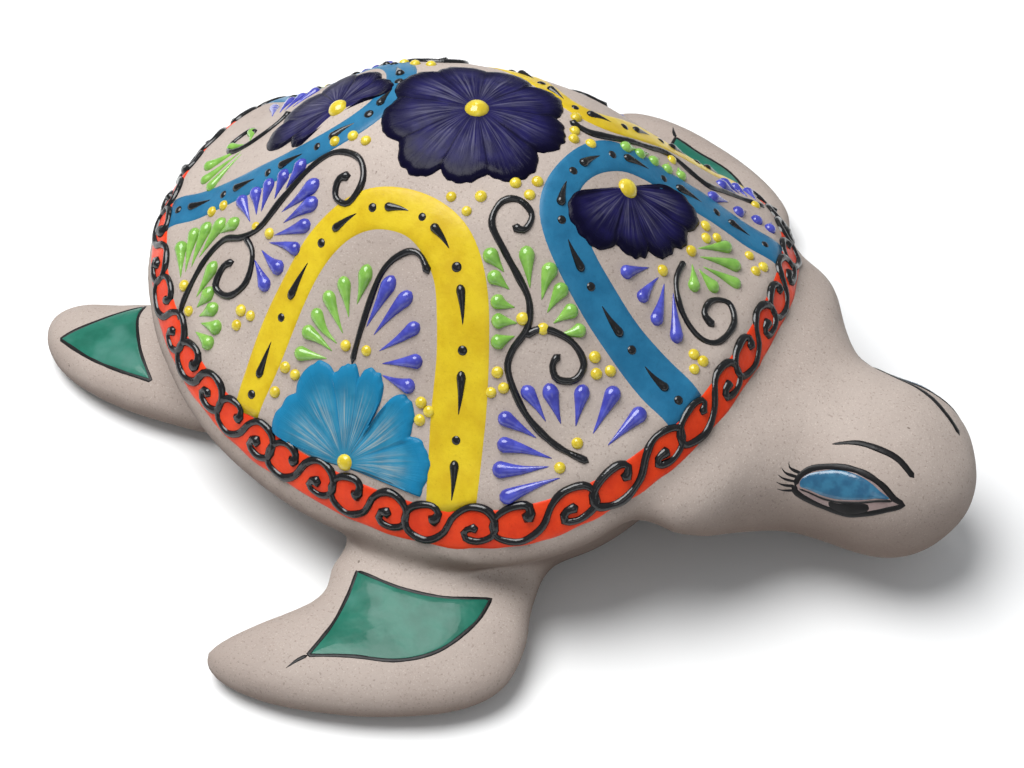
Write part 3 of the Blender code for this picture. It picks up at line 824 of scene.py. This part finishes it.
# Teardrops: (head x, head y, tail x, tail y)
SIDE_GREEN = (
    (-0.23, -0.65, -0.12, -0.65), (-0.225, -0.605, -0.11, -0.635), (-0.205, -0.565, -0.10, -0.62),
    (-0.18, -0.53, -0.09, -0.60), (-0.14, -0.50, -0.085, -0.57), (-0.07, -0.47, -0.07, -0.545),
)
SIDE_BLUE = (
    (0.02, -0.48, -0.02, -0.58), (0.09, -0.50, 0.01, -0.59), (0.14, -0.55, 0.04, -0.615),
    (0.18, -0.61, 0.06, -0.635), (0.18, -0.66, 0.07, -0.655),
)
FRONT_GREEN = (
    (0.26, -0.37, 0.33, -0.39), (0.29, -0.41, 0.36, -0.415), (0.32, -0.45, 0.39, -0.44),
    (0.34, -0.49, 0.41, -0.465), (0.36, -0.53, 0.415, -0.49), (0.36, -0.31, 0.41, -0.385),
    (0.44, -0.30, 0.45, -0.39), (0.49, -0.32, 0.475, -0.405), (0.54, -0.345, 0.50, -0.415),
    (0.58, -0.37, 0.525, -0.425),
)
FRONT_BLUE = (
    (0.48, -0.565, 0.57, -0.60), (0.54, -0.53, 0.61, -0.585), (0.63, -0.48, 0.65, -0.57),
    (0.71, -0.43, 0.70, -0.56), (0.80, -0.43, 0.75, -0.565), (0.44, -0.64, 0.56, -0.64),
    (0.46, -0.69, 0.62, -0.66), (0.47, -0.74, 0.62, -0.68), (0.52, -0.79, 0.66, -0.69),
)
LEFT_FRONT_GREEN = (
    (0.425, -0.180, 0.455, -0.235), (0.463, -0.208, 0.480, -0.270), (0.505, -0.235, 0.503, -0.300),
    (0.543, -0.262, 0.523, -0.325), (0.580, -0.300, 0.545, -0.350),
)
LEFT_FRONT_BLUE = (
    (0.648, -0.353, 0.690, -0.424), (0.724, -0.398, 0.735, -0.469), (0.776, -0.437, 0.775, -0.500),
    (0.825, -0.445, 0.805, -0.515), (0.615, -0.505, 0.670, -0.545), (0.600, -0.570, 0.670, -0.575),
    (0.620, -0.630, 0.690, -0.600), (0.655, -0.680, 0.710, -0.625),
)
REAR_BLUE = (
    (-0.61, -0.31, -0.53, -0.385), (-0.56, -0.295, -0.515, -0.37), (-0.51, -0.28, -0.50, -0.365),
    (-0.46, -0.265, -0.465, -0.34), (-0.40, -0.25, -0.435, -0.32), (-0.32, -0.31, -0.42, -0.375),
    (-0.30, -0.355, -0.40, -0.40), (-0.30, -0.405, -0.42, -0.425), (-0.31, -0.46, -0.43, -0.44),
    (-0.35, -0.50, -0.45, -0.455), (-0.385, -0.54, -0.465, -0.475),
)
REAR_GREEN = (
    (-0.78, -0.41, -0.725, -0.51), (-0.745, -0.37, -0.715, -0.495), (-0.70, -0.36, -0.70, -0.48),
    (-0.64, -0.36, -0.685, -0.455), (-0.575, -0.375, -0.64, -0.40), (-0.61, -0.47, -0.64, -0.555),
    (-0.59, -0.53, -0.625, -0.58), (-0.55, -0.57, -0.605, -0.60), (-0.51, -0.62, -0.59, -0.615),
    (-0.52, -0.665, -0.60, -0.635),
)
FRONT_END_BLUE = (
    (0.60, -0.18, 0.65, -0.09), (0.67, -0.20, 0.68, -0.09), (0.73, -0.22, 0.70, -0.09),
    (0.80, -0.21, 0.73, -0.09),
)
FRONT_END_GREEN = (
    (0.78, 0.23, 0.72, 0.11), (0.83, 0.19, 0.735, 0.09), (0.86, 0.125, 0.755, 0.07),
    (0.82, 0.04, 0.75, 0.05), (0.77, -0.03, 0.73, 0.045),
)

# Navy flowers: name, centre, the petals' headings and reaches, half a petal's width in degrees, and the
# first and last heading of a flower that is only part of a circle
FLOWERS = (
    ("top", (0.045, -0.005), (10, 50, 92, 130, 168, 208, 248, 288, 326),
     (0.268, 0.27, 0.265, 0.275, 0.29, 0.285, 0.275, 0.255, 0.275), 27, None),
    ("front", (0.504, 0.062), (-98, -62, -25, 8, 42), (0.255, 0.20, 0.185, 0.19, 0.225), 26,
     (-122, 68)),
    ("rear", (-0.381, -0.087), (222, 190, 155, 120, 84, 46), (0.15, 0.24, 0.25, 0.23, 0.19, 0.175), 25,
     (240, 20)),
)

# Dots, each (x, y)
REAR_DOTS = (
    (-0.27, -0.19), (-0.32, -0.21), (-0.22, -0.20), (-0.50, -0.40), (-0.44, -0.42), (-0.70, -0.53),
    (-0.65, -0.59), (-0.46, -0.58), (-0.42, -0.59), (-0.46, -0.61), (-0.67, -0.32), (-0.71, -0.33),
)
SIDE_DOTS = (
    (-0.07, -0.62), (0.0, -0.62), (-0.25, -0.68), (-0.21, -0.69), (-0.26, -0.73), (0.21, -0.68),
    (0.24, -0.69), (0.22, -0.71),
)
RIGHT_DOTS = (
    (0.26, -0.18), (0.31, -0.14), (0.31, -0.19), (0.11, -0.29), (0.19, -0.26), (0.17, -0.31),
    (0.42, -0.45), (0.48, -0.44), (0.63, -0.41), (0.68, -0.41), (0.65, -0.44), (0.40, -0.57),
    (0.43, -0.59), (0.40, -0.61), (0.67, -0.60), (0.65, -0.67),
)
LEFT_DOTS = (
    (0.285, 0.165), (0.309, 0.107), (0.322, 0.074), (0.366, 0.099), (0.52, 0.355), (0.73, 0.56),
)
END_DOTS = (
    (0.68, -0.06), (0.71, 0.08), (0.72, 0.17), (0.74, 0.21), (0.70, 0.21), (0.83, 0.26),
    (0.88, 0.26), (0.87, 0.22), (0.85, -0.20), (0.88, -0.20), (0.87, -0.24),
)


def to_band(arch, side, spread):
    """(path, widths) of an arch, cut where it meets the band and reaching it at an end that stops short."""
    points = np.array(arch, float) * (1, side, spread)
    first, last = points[0] * 2 - points[1], points[-1] * 2 - points[-2]
    points = evenly(path_through([first, *points, last], 8), 200)
    inside = shell_place(points[:, 0], points[:, 1])[0] < BAND_IN + 0.008
    points = evenly(points[inside], 90)
    return points[:, :2], points[:, 2]


def whole_band(skin):
    turn = around(420)
    x, y = edge(turn)
    share = np.linspace(0, 1, 9)
    ragged = np.stack([0.0016 * wobble(turn * 9, 3), 0.0022 * wobble(turn * 11, 4)])
    inner, outer = BAND_IN + ragged[0], BAND_OUT + ragged[1]
    r = inner[:, None] + (outer - inner)[:, None] * share
    plan = np.stack([x[:, None] * r, y[:, None] * r], -1)
    points, normals = on_dome(plan, skin)
    lift = BAND_LIFT * (1 - np.abs(2 * share - 1) ** 8) - 0.25 * MM * (np.abs(2 * share - 1) > 0.99)
    return grid_sheet(points, normals, np.broadcast_to(lift, points.shape[:2]), True)


def scroll(skin):
    """The chain of scrolls on the band, one trailed line per unit."""
    turn = np.linspace(-math.pi, math.pi, 1441)
    far = distances(np.stack(edge(turn), -1))
    swing = np.sin(4 * math.pi * (far - SCROLL_DENSE) / far[-1])
    count = SCROLL_UNITS * far / far[-1] + SCROLL_UNEVEN * (swing - swing[0])
    lines = []
    for i in range(SCROLL_UNITS):
        points = []
        for k, (along, across) in enumerate(SCROLL):
            shift = 0.035 * waver(i * 5.1, k * 0.7, 1)
            place = (i + SCROLL_START + along + shift) % SCROLL_UNITS
            t = np.interp(place, count, turn)
            x, y = edge(t)
            across += 0.05 * waver(i * 3.7, k * 0.6, 9)
            r = BAND_OUT - 0.002 - (BAND_OUT - BAND_IN) * min(across, 1.04)
            points.append((x * r, y * r))
        lines.append(trailed(points, SCROLL_WIDTH * (1 + 0.12 * waver(i * 2.9, 4, 4)), i, skin,
                             start_blob=1.8, end_blob=1.8))
    return merged(lines)


def arch_marks(path, seed, skin, heads_first=True):
    """Dots and teardrops in turn along an arch's middle."""
    path = evenly(path, 400)
    total = length_of(path)
    step, at, marks = 0.058, 0.035, []
    far = np.linspace(0, total, 400)

    def point(distance):
        return [np.interp(distance, far, c) for c in path.T]

    i = 0
    while at < total - 0.05:
        size = 1 + 0.25 * waver(at * 30, seed, 0)
        if i % 2:
            a, b = at, min(at + DASH_LENGTH * size, total)
            ends = (point(a), point(b)) if heads_first else (point(b), point(a))
            marks.append(teardrop(*ends, DASH_WIDTH * size, 0.03, skin, 0.5))
            at += DASH_LENGTH * size + step * 0.5
        else:
            marks.append(round_dot(point(at), DASH_DOT * size, skin))
            at += step * 0.62
        i += 1
    return merged(marks)


def flower_sheet(centre, headings, reaches, half, skin, open_end=None):
    """(points, faces, petal coordinates) of a flower whose petals stand at the given headings.

    open_end gives the first and last heading of a flower that is only part of a circle."""
    steps = 240
    if open_end:
        heading = np.linspace(*open_end, steps, endpoint=False)
    else:
        heading = np.linspace(0, 360, steps, endpoint=False)
    headings = np.array(headings, float)
    away = (heading[:, None] - headings + 180) % 360 - 180
    lobe = np.cos(np.clip(np.abs(away) / half, 0, 0.999) * math.pi / 2) ** 0.16 * np.array(reaches)
    which = lobe.argmax(1)
    reach = lobe.max(1) * (1 + 0.018 * wobble(heading * 0.22, sum(centre)))
    phase = which + 0.5 + away[np.arange(steps), which] / half * 0.62
    shares = np.array([0.04, 0.14, 0.26, 0.38, 0.50, 0.61, 0.71, 0.80, 0.87, 0.92, 0.96, 0.99, 1.0])
    a = np.radians(heading)
    ring_plan = [np.stack([centre[0] + reach * s * np.cos(a), centre[1] + reach * s * np.sin(a)], -1)
                 for s in shares]
    plan = np.array(ring_plan)
    place = shell_place(plan[..., 0], plan[..., 1])[0]
    plan *= np.minimum(1, BAND_IN / place)[..., None]
    points, normals = on_dome(plan, skin)
    notch = np.abs(phase % 1 - 0.5) * 2
    thick = 0.40 + 0.85 * np.exp(-((shares - 0.89) / 0.085) ** 2)
    thick = thick[:, None] - 0.30 * (np.clip(notch, 0, 1) ** 6)[None] * (shares[:, None] > 0.3)
    thick += 0.22 * (1 - notch ** 2)[None] * np.sin(math.pi * shares)[:, None]
    thick[-2] *= 0.55
    thick[-1] = -0.3
    rings = list(points + normals * thick[..., None] * MM)
    rings.append(points[-3] - normals[-3] * 0.7 * MM)
    rings.append(points[0] - normals[0] * 0.7 * MM)
    v = np.array([*shares, 1.0, 1.0])
    coordinates = np.stack([np.broadcast_to(phase, (len(v), steps)),
                            np.broadcast_to(v[:, None], (len(v), steps))], -1).reshape(-1, 2)
    coordinates = np.concatenate([coordinates, [[0.5, 0.0], [0.5, 1.0]]])
    return (*lofted(rings), coordinates)


def give_petal_map(obj, coordinates):
    layer = obj.data.uv_layers.new(name="petal")
    for polygon in obj.data.polygons:
        spots = [coordinates[v].copy() for v in polygon.vertices]
        first = spots[0][0]
        for loop, spot in zip(polygon.loop_indices, spots):
            if abs(spot[0] - first) > 0.5:
                spot[0] = first
            layer.data[loop].uv = spot


# Limbs: green patches and the eyes


def flat_patch(outline, side_view, skin, high, rings=7):
    """(points, faces) of a thin closed patch inside an outline on a limb."""
    outline = np.array(outline)
    middle = outline.mean(0)
    shares = np.sin(np.linspace(0.06, 1, rings) * math.pi / 2)
    plan = middle + (outline - middle)[None] * shares[:, None, None]
    points, normals = side_view.place(plan, skin)
    lifts = high * (1 - shares ** 8)
    lifts[-1] = -0.2 * MM
    sheet = list(points + normals * lifts[:, None, None])
    sheet.append(points[-2] - normals[-2] * 0.6 * MM)
    return lofted(sheet)


def limb_line(points, width, side_view, skin, seed, height=0.16, thin_start=False, thin_end=False):
    """A brushed line on a limb. Width is in shell units."""
    path = path_through(points, 8)
    count = max(int(length_of(path) / 0.010), 8)
    path = evenly(path, count)
    far = np.linspace(0, length_of(path), count)
    widths = width * (1 + 0.14 * wobble(far * 25, seed)) * round_ends(far, far[-1], width / 2, 0)
    s = far / far[-1]
    if thin_start:
        widths *= 0.35 + 0.65 * np.clip(s / 0.45, 0, 1)
    if thin_end:
        widths *= 0.15 + 0.85 * np.clip((1 - s) / 0.55, 0, 1)
    places, normals = side_view.place(path, skin)
    return raised_line(places, normals, np.maximum(widths, 0.0015) * UNIT, height)


def from_above(side):
    return Side((SHELL_X, 0, 0), (1, 0, 0), (0, side, 0), (0, 0, 1))


EYE_LEAN = math.radians(55)  # the eye's outlines are seen from the side and from above by this


def eye_view(side):
    c, s = math.cos(EYE_LEAN), math.sin(EYE_LEAN)
    return Side((SHELL_X, 0, 0), (1, 0, 0), (0, side * c, s), (0, -side * s, c))


# Corners and bends of the patches, in plan
FRONT_PATCH = (
    ((0.142, -0.979), (0.29, -0.99), (0.43, -0.965), (0.549, -0.904)),
    ((0.549, -0.904), (0.545, -1.00), (0.495, -1.119), (0.40, -1.20), (0.271, -1.247), (0.159, -1.295)),
    ((0.159, -1.295), (0.168, -1.18), (0.158, -1.076), (0.142, -0.979)),
)
FRONT_TAIL = ((0.159, -1.295), (0.14, -1.32), (0.121, -1.356))
REAR_PATCH = (
    ((-1.06, -0.30), (-1.154, -0.424), (-1.236, -0.539)),
    ((-1.236, -0.539), (-1.087, -0.582), (-0.957, -0.597), (-0.837, -0.596)),
    ((-0.837, -0.596), (-0.936, -0.507), (-1.03, -0.385), (-1.06, -0.30)),
)

# The eye, as (along the head, up the slope)
EYE_OUTLINE = (
    (1.227, 0.186), (1.232, 0.218), (1.255, 0.246), (1.296, 0.266), (1.354, 0.281), (1.41, 0.281),
    (1.464, 0.265), (1.505, 0.239), (1.534, 0.227), (1.497, 0.203), (1.457, 0.179), (1.415, 0.158),
    (1.375, 0.148), (1.311, 0.149), (1.261, 0.157), (1.233, 0.169),
)
LID_OUTLINE = (
    (1.236, 0.189), (1.235, 0.208), (1.253, 0.233), (1.293, 0.256), (1.336, 0.271), (1.384, 0.274),
    (1.428, 0.267), (1.468, 0.250), (1.497, 0.235), (1.464, 0.225), (1.416, 0.204), (1.359, 0.185),
    (1.312, 0.179), (1.269, 0.182), (1.243, 0.184),
)
LID_EDGE = (
    (1.238, 0.180), (1.269, 0.178), (1.312, 0.174), (1.359, 0.180), (1.416, 0.199), (1.464, 0.220),
    (1.505, 0.232),
)
PUPIL_OUTLINE = (
    (1.325, 0.170), (1.361, 0.178), (1.418, 0.199), (1.444, 0.204), (1.453, 0.192), (1.441, 0.175),
    (1.401, 0.152), (1.367, 0.147), (1.337, 0.152),
)
BROW = ((1.283, 0.327), (1.351, 0.352), (1.427, 0.354), (1.482, 0.342), (1.536, 0.308))
LASHES = (
    ((1.235, 0.225), (1.20, 0.232), (1.19, 0.25)), ((1.23, 0.212), (1.195, 0.215), (1.178, 0.228)),
    ((1.228, 0.198), (1.195, 0.198), (1.175, 0.207)), ((1.229, 0.184), (1.198, 0.18), (1.178, 0.185)),
    ((1.232, 0.172), (1.203, 0.164), (1.185, 0.165)),
)


LEFT_EYE_SHIFT = (0.03, -0.03)  # the left eye sits lower and further forward
LEFT_BROW = ((1.33, 0.25), (1.414, 0.284), (1.469, 0.302), (1.53, 0.318), (1.595, 0.317))


def outline_of(sides, steps=10):
    return np.concatenate([path_through(points, steps)[:-1] for points in sides])


def show(name, replaces, material, shape, petals=None):
    """Makes a piece of the visual model, tied to the CAD nodes that it stands for."""
    obj = mesh_object(name, *shape, material)
    if petals is not None:
        give_petal_map(obj, petals)
    if replaces:
        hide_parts(*replaces)
    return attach(obj, "root")


def both_sides(points):
    return [tuple(m) for side in (1, -1) for m in mirrored(points, side)]


def on_the_left(points):
    """The side panel's plan points, moved to where the left panel has them."""
    return [(x + LEFT_SHIFT, -y) for x, y in points]


def ahead(rows):
    return tuple((a + LEFT_SHIFT, b, c + LEFT_SHIFT, d) for a, b, c, d in rows)


def drops_of(rows, width, seed, skin, sides=(1, -1)):
    shapes = []
    for side in sides:
        for i, (x0, y0, x1, y1) in enumerate(rows):
            size = width * (1 + 0.16 * waver(i * 2.3, seed, side))
            bend = 0.10 * waver(i * 1.7, seed, 4 * side)
            shapes.append(teardrop((x0, y0 * side), (x1, y1 * side), size, bend, skin))
    return shapes


def draw_shell(skin):
    black = slip_material("black_slip", (0.006, 0.006, 0.007), (0.003, 0.003, 0.0035), 0.17, 0.05)
    orange = glaze_material("orange_glaze", (0.74, 0.052, 0.008), (0.60, 0.030, 0.004))
    yellow = glaze_material("yellow_glaze", (0.62, 0.46, 0.016), (0.52, 0.35, 0.009))
    sky = glaze_material("sky_blue_glaze", (0.018, 0.150, 0.285), (0.011, 0.112, 0.225))
    navy = petal_material("navy_glaze", (0.005, 0.004, 0.035), (0.011, 0.009, 0.070),
                          (0.17, 0.165, 0.24), (0.002, 0.0015, 0.010), 0.62)
    pale = petal_material("light_blue_glaze", (0.015, 0.145, 0.25), (0.028, 0.200, 0.33),
                          (0.34, 0.37, 0.34), (0.010, 0.165, 0.32), 0.8)
    yolk = slip_material("yellow_slip", (0.66, 0.53, 0.04), (0.54, 0.40, 0.015))
    lime = slip_material("lime_slip", (0.22, 0.44, 0.075), (0.16, 0.36, 0.05))
    violet = slip_material("blue_slip", (0.060, 0.070, 0.42), (0.035, 0.038, 0.30))

    show("orange_band", ["rim_band"], orange, whole_band(skin))
    show("band_scrolls", [], black, scroll(skin))

    marks = []
    for i, (name, points, nodes, material, slot, side, spread) in enumerate((
        ("front_arch_glaze", FRONT_ARCH, ["front_arch"], sky, "sky_blue_glaze", 1, 1.12),
        ("rear_arch_glaze", REAR_ARCH, ["rear_arch"], sky, "sky_blue_glaze", 1, 1.35),
        ("side_arch_glaze_right", SIDE_ARCH, ["side_arch_right"], yellow, "yellow_glaze", 1, 1.25),
        ("side_arch_glaze_left", LEFT_ARCH, ["side_arch_left"], yellow, "yellow_glaze", -1, 1.25),
    )):
        path, widths = to_band(points, side, spread)
        widths = widths * (1 + 0.05 * wobble(np.linspace(0, 9, len(path)), i))
        show(name, nodes, material, ribbon(path, widths, skin, ARCH_LIFT))
        marks.append(arch_marks(path, i, skin))
    show("arch_marks", [], black, merged(marks))

    for name, centre, headings, reaches, half, ends in FLOWERS:
        *shape, petals = flower_sheet(centre, headings, reaches, half, skin, ends)
        show(name + "_flower_petals", [name + "_flower"], navy, shape, petals)
    for hand, side, shift in (("right", 1, 0), ("left", -1, LEFT_SHIFT)):
        *shape, petals = flower_sheet(
            (0.031 + shift, -0.83 * side), np.array((167, 146, 118, 86, 40, 6)) * side,
            (0.275, 0.26, 0.20, 0.185, 0.21, 0.265), 22, skin, (184 * side, -4 * side))
        show("side_flower_petals_" + hand, ["side_flower_" + hand], pale, shape,
             petals)

    centres = [(flower[1], radius) for flower, radius in zip(FLOWERS, (0.037, 0.033, 0.032))]
    centres += [((0.031, -0.828), 0.026), ((0.031 + LEFT_SHIFT, 0.828), 0.026)]
    nodes = [flower[0] + "_flower_centre" for flower in FLOWERS]
    nodes += ["side_flower_centre_right", "side_flower_centre_left"]
    shape = merged([round_dot(c, r, skin, 0.62) for c, r in centres])
    show("flower_centres", nodes, yolk, shape)

    lines = []
    for seed, points in enumerate((
        FRONT_VINE, FRONT_CURL, REAR_VINE, REAR_CURL, SIDE_STEM, mirrored(LEFT_FRONT_VINE, -1),
        mirrored(REAR_VINE, -1), mirrored(REAR_CURL, -1), on_the_left(SIDE_STEM),
    )):
        lines.append(trailed(points, VINE_WIDTH, seed, skin, end_blob=1.6))
    for seed, points in enumerate((FRONT_STEM, REAR_STEM)):
        lines.append(trailed(points, STEM_WIDTH, 20 + seed, skin, start_blob=1.5))
    nodes = ["front_stem", "rear_stem"]
    for name in ("front_vine", "rear_vine", "side_stem"):
        nodes += [name + "_right", name + "_left"]
    show("vines", nodes, black, merged(lines))

    green = drops_of(REAR_GREEN, 0.046, 1, skin)
    blue = drops_of(REAR_BLUE, 0.047, 2, skin)
    green += drops_of(SIDE_GREEN + FRONT_GREEN, 0.046, 7, skin, (1,))
    blue += drops_of(SIDE_BLUE + FRONT_BLUE, 0.047, 8, skin, (1,))
    green += drops_of(ahead(SIDE_GREEN) + LEFT_FRONT_GREEN, 0.040, 9, skin, (-1,))
    blue += drops_of(ahead(SIDE_BLUE) + LEFT_FRONT_BLUE, 0.042, 10, skin, (-1,))
    green += drops_of(FRONT_END_GREEN, 0.044, 3, skin, (1,))
    blue += drops_of(FRONT_END_BLUE, 0.044, 4, skin, (1,))
    rear_green, rear_blue = (
        [(-a, -b - 0.02, -c, -d - 0.02) for a, b, c, d in rows]
        for rows in (FRONT_END_GREEN, FRONT_END_BLUE)
    )
    green += drops_of(rear_green, 0.038, 5, skin, (1,))
    blue += drops_of(rear_blue, 0.038, 6, skin, (1,))
    show("lime_drops", [], lime, merged(green))
    show("blue_drops", [], violet, merged(blue))

    dots = [*both_sides(REAR_DOTS), *SIDE_DOTS, *on_the_left(SIDE_DOTS)]
    dots += [*RIGHT_DOTS, *LEFT_DOTS, *END_DOTS]
    shapes = [round_dot(p, DOT_RADIUS * (1 + 0.22 * waver(i * 1.9, 0, 5)), skin, 0.75)
              for i, p in enumerate(dots)]
    show("yellow_dots", [], yolk, merged(shapes))


def draw_limbs(skin):
    green = green_material()
    brushed = glaze_material("black_line", (0.008, 0.007, 0.008), (0.005, 0.005, 0.005))
    lid = slip_material("eyelid_glaze", (0.024, 0.135, 0.235), (0.013, 0.085, 0.17), 0.2)
    white = slip_material("eye_white", (0.26, 0.19, 0.18), (0.20, 0.14, 0.135), 0.3, 0.05)
    patches, lines, whites, lids = {}, [], [], {}
    for hand, side in (("right", 1), ("left", -1)):
        view = from_above(side)
        for name, sides in (("front", FRONT_PATCH), ("rear", REAR_PATCH)):
            outline = outline_of(sides)
            patches[f"{name}_flipper_patch_{hand}"] = flat_patch(outline, view, skin, PATCH_LIFT, 10)
            closed = [*outline, outline[0], outline[1]]
            lines.append(limb_line(closed, PATCH_LINE, view, skin, side + 1))
        lines.append(limb_line(FRONT_TAIL, TAIL_LINE, view, skin, 7, thin_end=True))
        view = eye_view(side)
        shift = (0, 0) if side > 0 else LEFT_EYE_SHIFT
        outline = path_through(EYE_OUTLINE, 6, True) + shift
        whites.append(flat_patch(outline, view, skin, WHITE_LIFT))
        rim, pupil = (path_through(part, 6, True) + shift for part in (LID_OUTLINE, PUPIL_OUTLINE))
        lids["eyelid_" + hand] = flat_patch(rim, view, skin, LID_LIFT)
        lines.append(flat_patch(pupil, view, skin, PUPIL_LIFT))
        lines.append(limb_line([*outline, outline[0], outline[1]], EYE_LINE, view, skin, 9))
        lines.append(limb_line(np.array(LID_EDGE) + shift, LID_LINE, view, skin, 10, 0.6))
        brow = BROW if side > 0 else LEFT_BROW
        lines.append(limb_line(brow, BROW_LINE, view, skin, 11, thin_start=True))
        for i, lash in enumerate(LASHES):
            lines.append(limb_line(np.array(lash) + shift, LASH_LINE, view, skin, i, thin_end=True))
    for node, shape in patches.items():
        show(node + "_glaze", [node], green, shape)
    for node, shape in lids.items():
        show(node + "_glaze", [node], lid, shape)
    show("eye_whites", [], white, merged(whites))
    show("limb_lines", [], brushed, merged(lines))


# Floor, light and camera


def studio():
    floor = mesh_object("floor", [(-3, -3, 0), (3, -3, 0), (3, 3, 0), (-3, 3, 0)], [(0, 1, 2, 3)],
                        floor_material())
    bpy.context.scene.view_settings.view_transform = "Standard"
    world = bpy.data.worlds.new("studio")
    world.use_nodes = True
    background = world.node_tree.nodes["Background"]
    background.inputs["Color"].default_value = (0.93, 0.965, 1.0, 1)
    background.inputs["Strength"].default_value = 0.36
    bpy.context.scene.world = world
    for name, place, size, power in (
        ("window", (-0.38, -0.10, 1.20), 1.0, 21.0), ("front", (0.9, -1.1, 1.1), 1.0, 2.0),
        ("behind", (-0.65, 1.05, 1.2), 0.30, 1.3),
    ):
        light = bpy.data.lights.new(name, "AREA")
        light.shape = "DISK"
        light.size = size
        light.energy = power
        lamp = bpy.data.objects.new(name, light)
        lamp.location = place
        lamp.rotation_euler = (Vector((0, 0, 0.05)) - Vector(place)).to_track_quat("-Z", "Y").to_euler()
        bpy.context.scene.collection.objects.link(lamp)


# The camera stands where the photograph was taken from
CAMERA_TURN = math.radians(26.98)
CAMERA_RISE = math.radians(46.19)
CAMERA_REACH = 7.0227  # shell units from what it looks at
CAMERA_TARGET = (0.2032, -0.0909, 0.19)
CAMERA_LENS = 77.34


def camera():
    back = Vector((math.sin(CAMERA_TURN) * math.cos(CAMERA_RISE),
                   -math.cos(CAMERA_TURN) * math.cos(CAMERA_RISE), math.sin(CAMERA_RISE)))
    x, y, z = Vector(CAMERA_TARGET) + back * CAMERA_REACH
    data = bpy.data.cameras.new("camera")
    data.lens = CAMERA_LENS
    data.sensor_width = 36
    data.clip_end = 20
    obj = bpy.data.objects.new("camera", data)
    obj.location = (SHELL_X + x * UNIT, y * UNIT, z * UNIT)
    obj.rotation_euler = (-back).to_track_quat("-Z", "Y").to_euler()
    bpy.context.scene.collection.objects.link(obj)
    bpy.context.scene.camera = obj


def main():
    clay = clay_skin(clay_material())
    outside = tree_of([v.co for v in clay.data.vertices], [p.vertices for p in clay.data.polygons])
    draw_shell(outside)
    draw_limbs(outside)
    hollow_out(clay)
    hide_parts("carapace", "plastron", "head_and_neck", "front_flipper_right",
                "front_flipper_left", "rear_flipper_right", "rear_flipper_left")
    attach(clay, "root")
    studio()
    camera()


main()
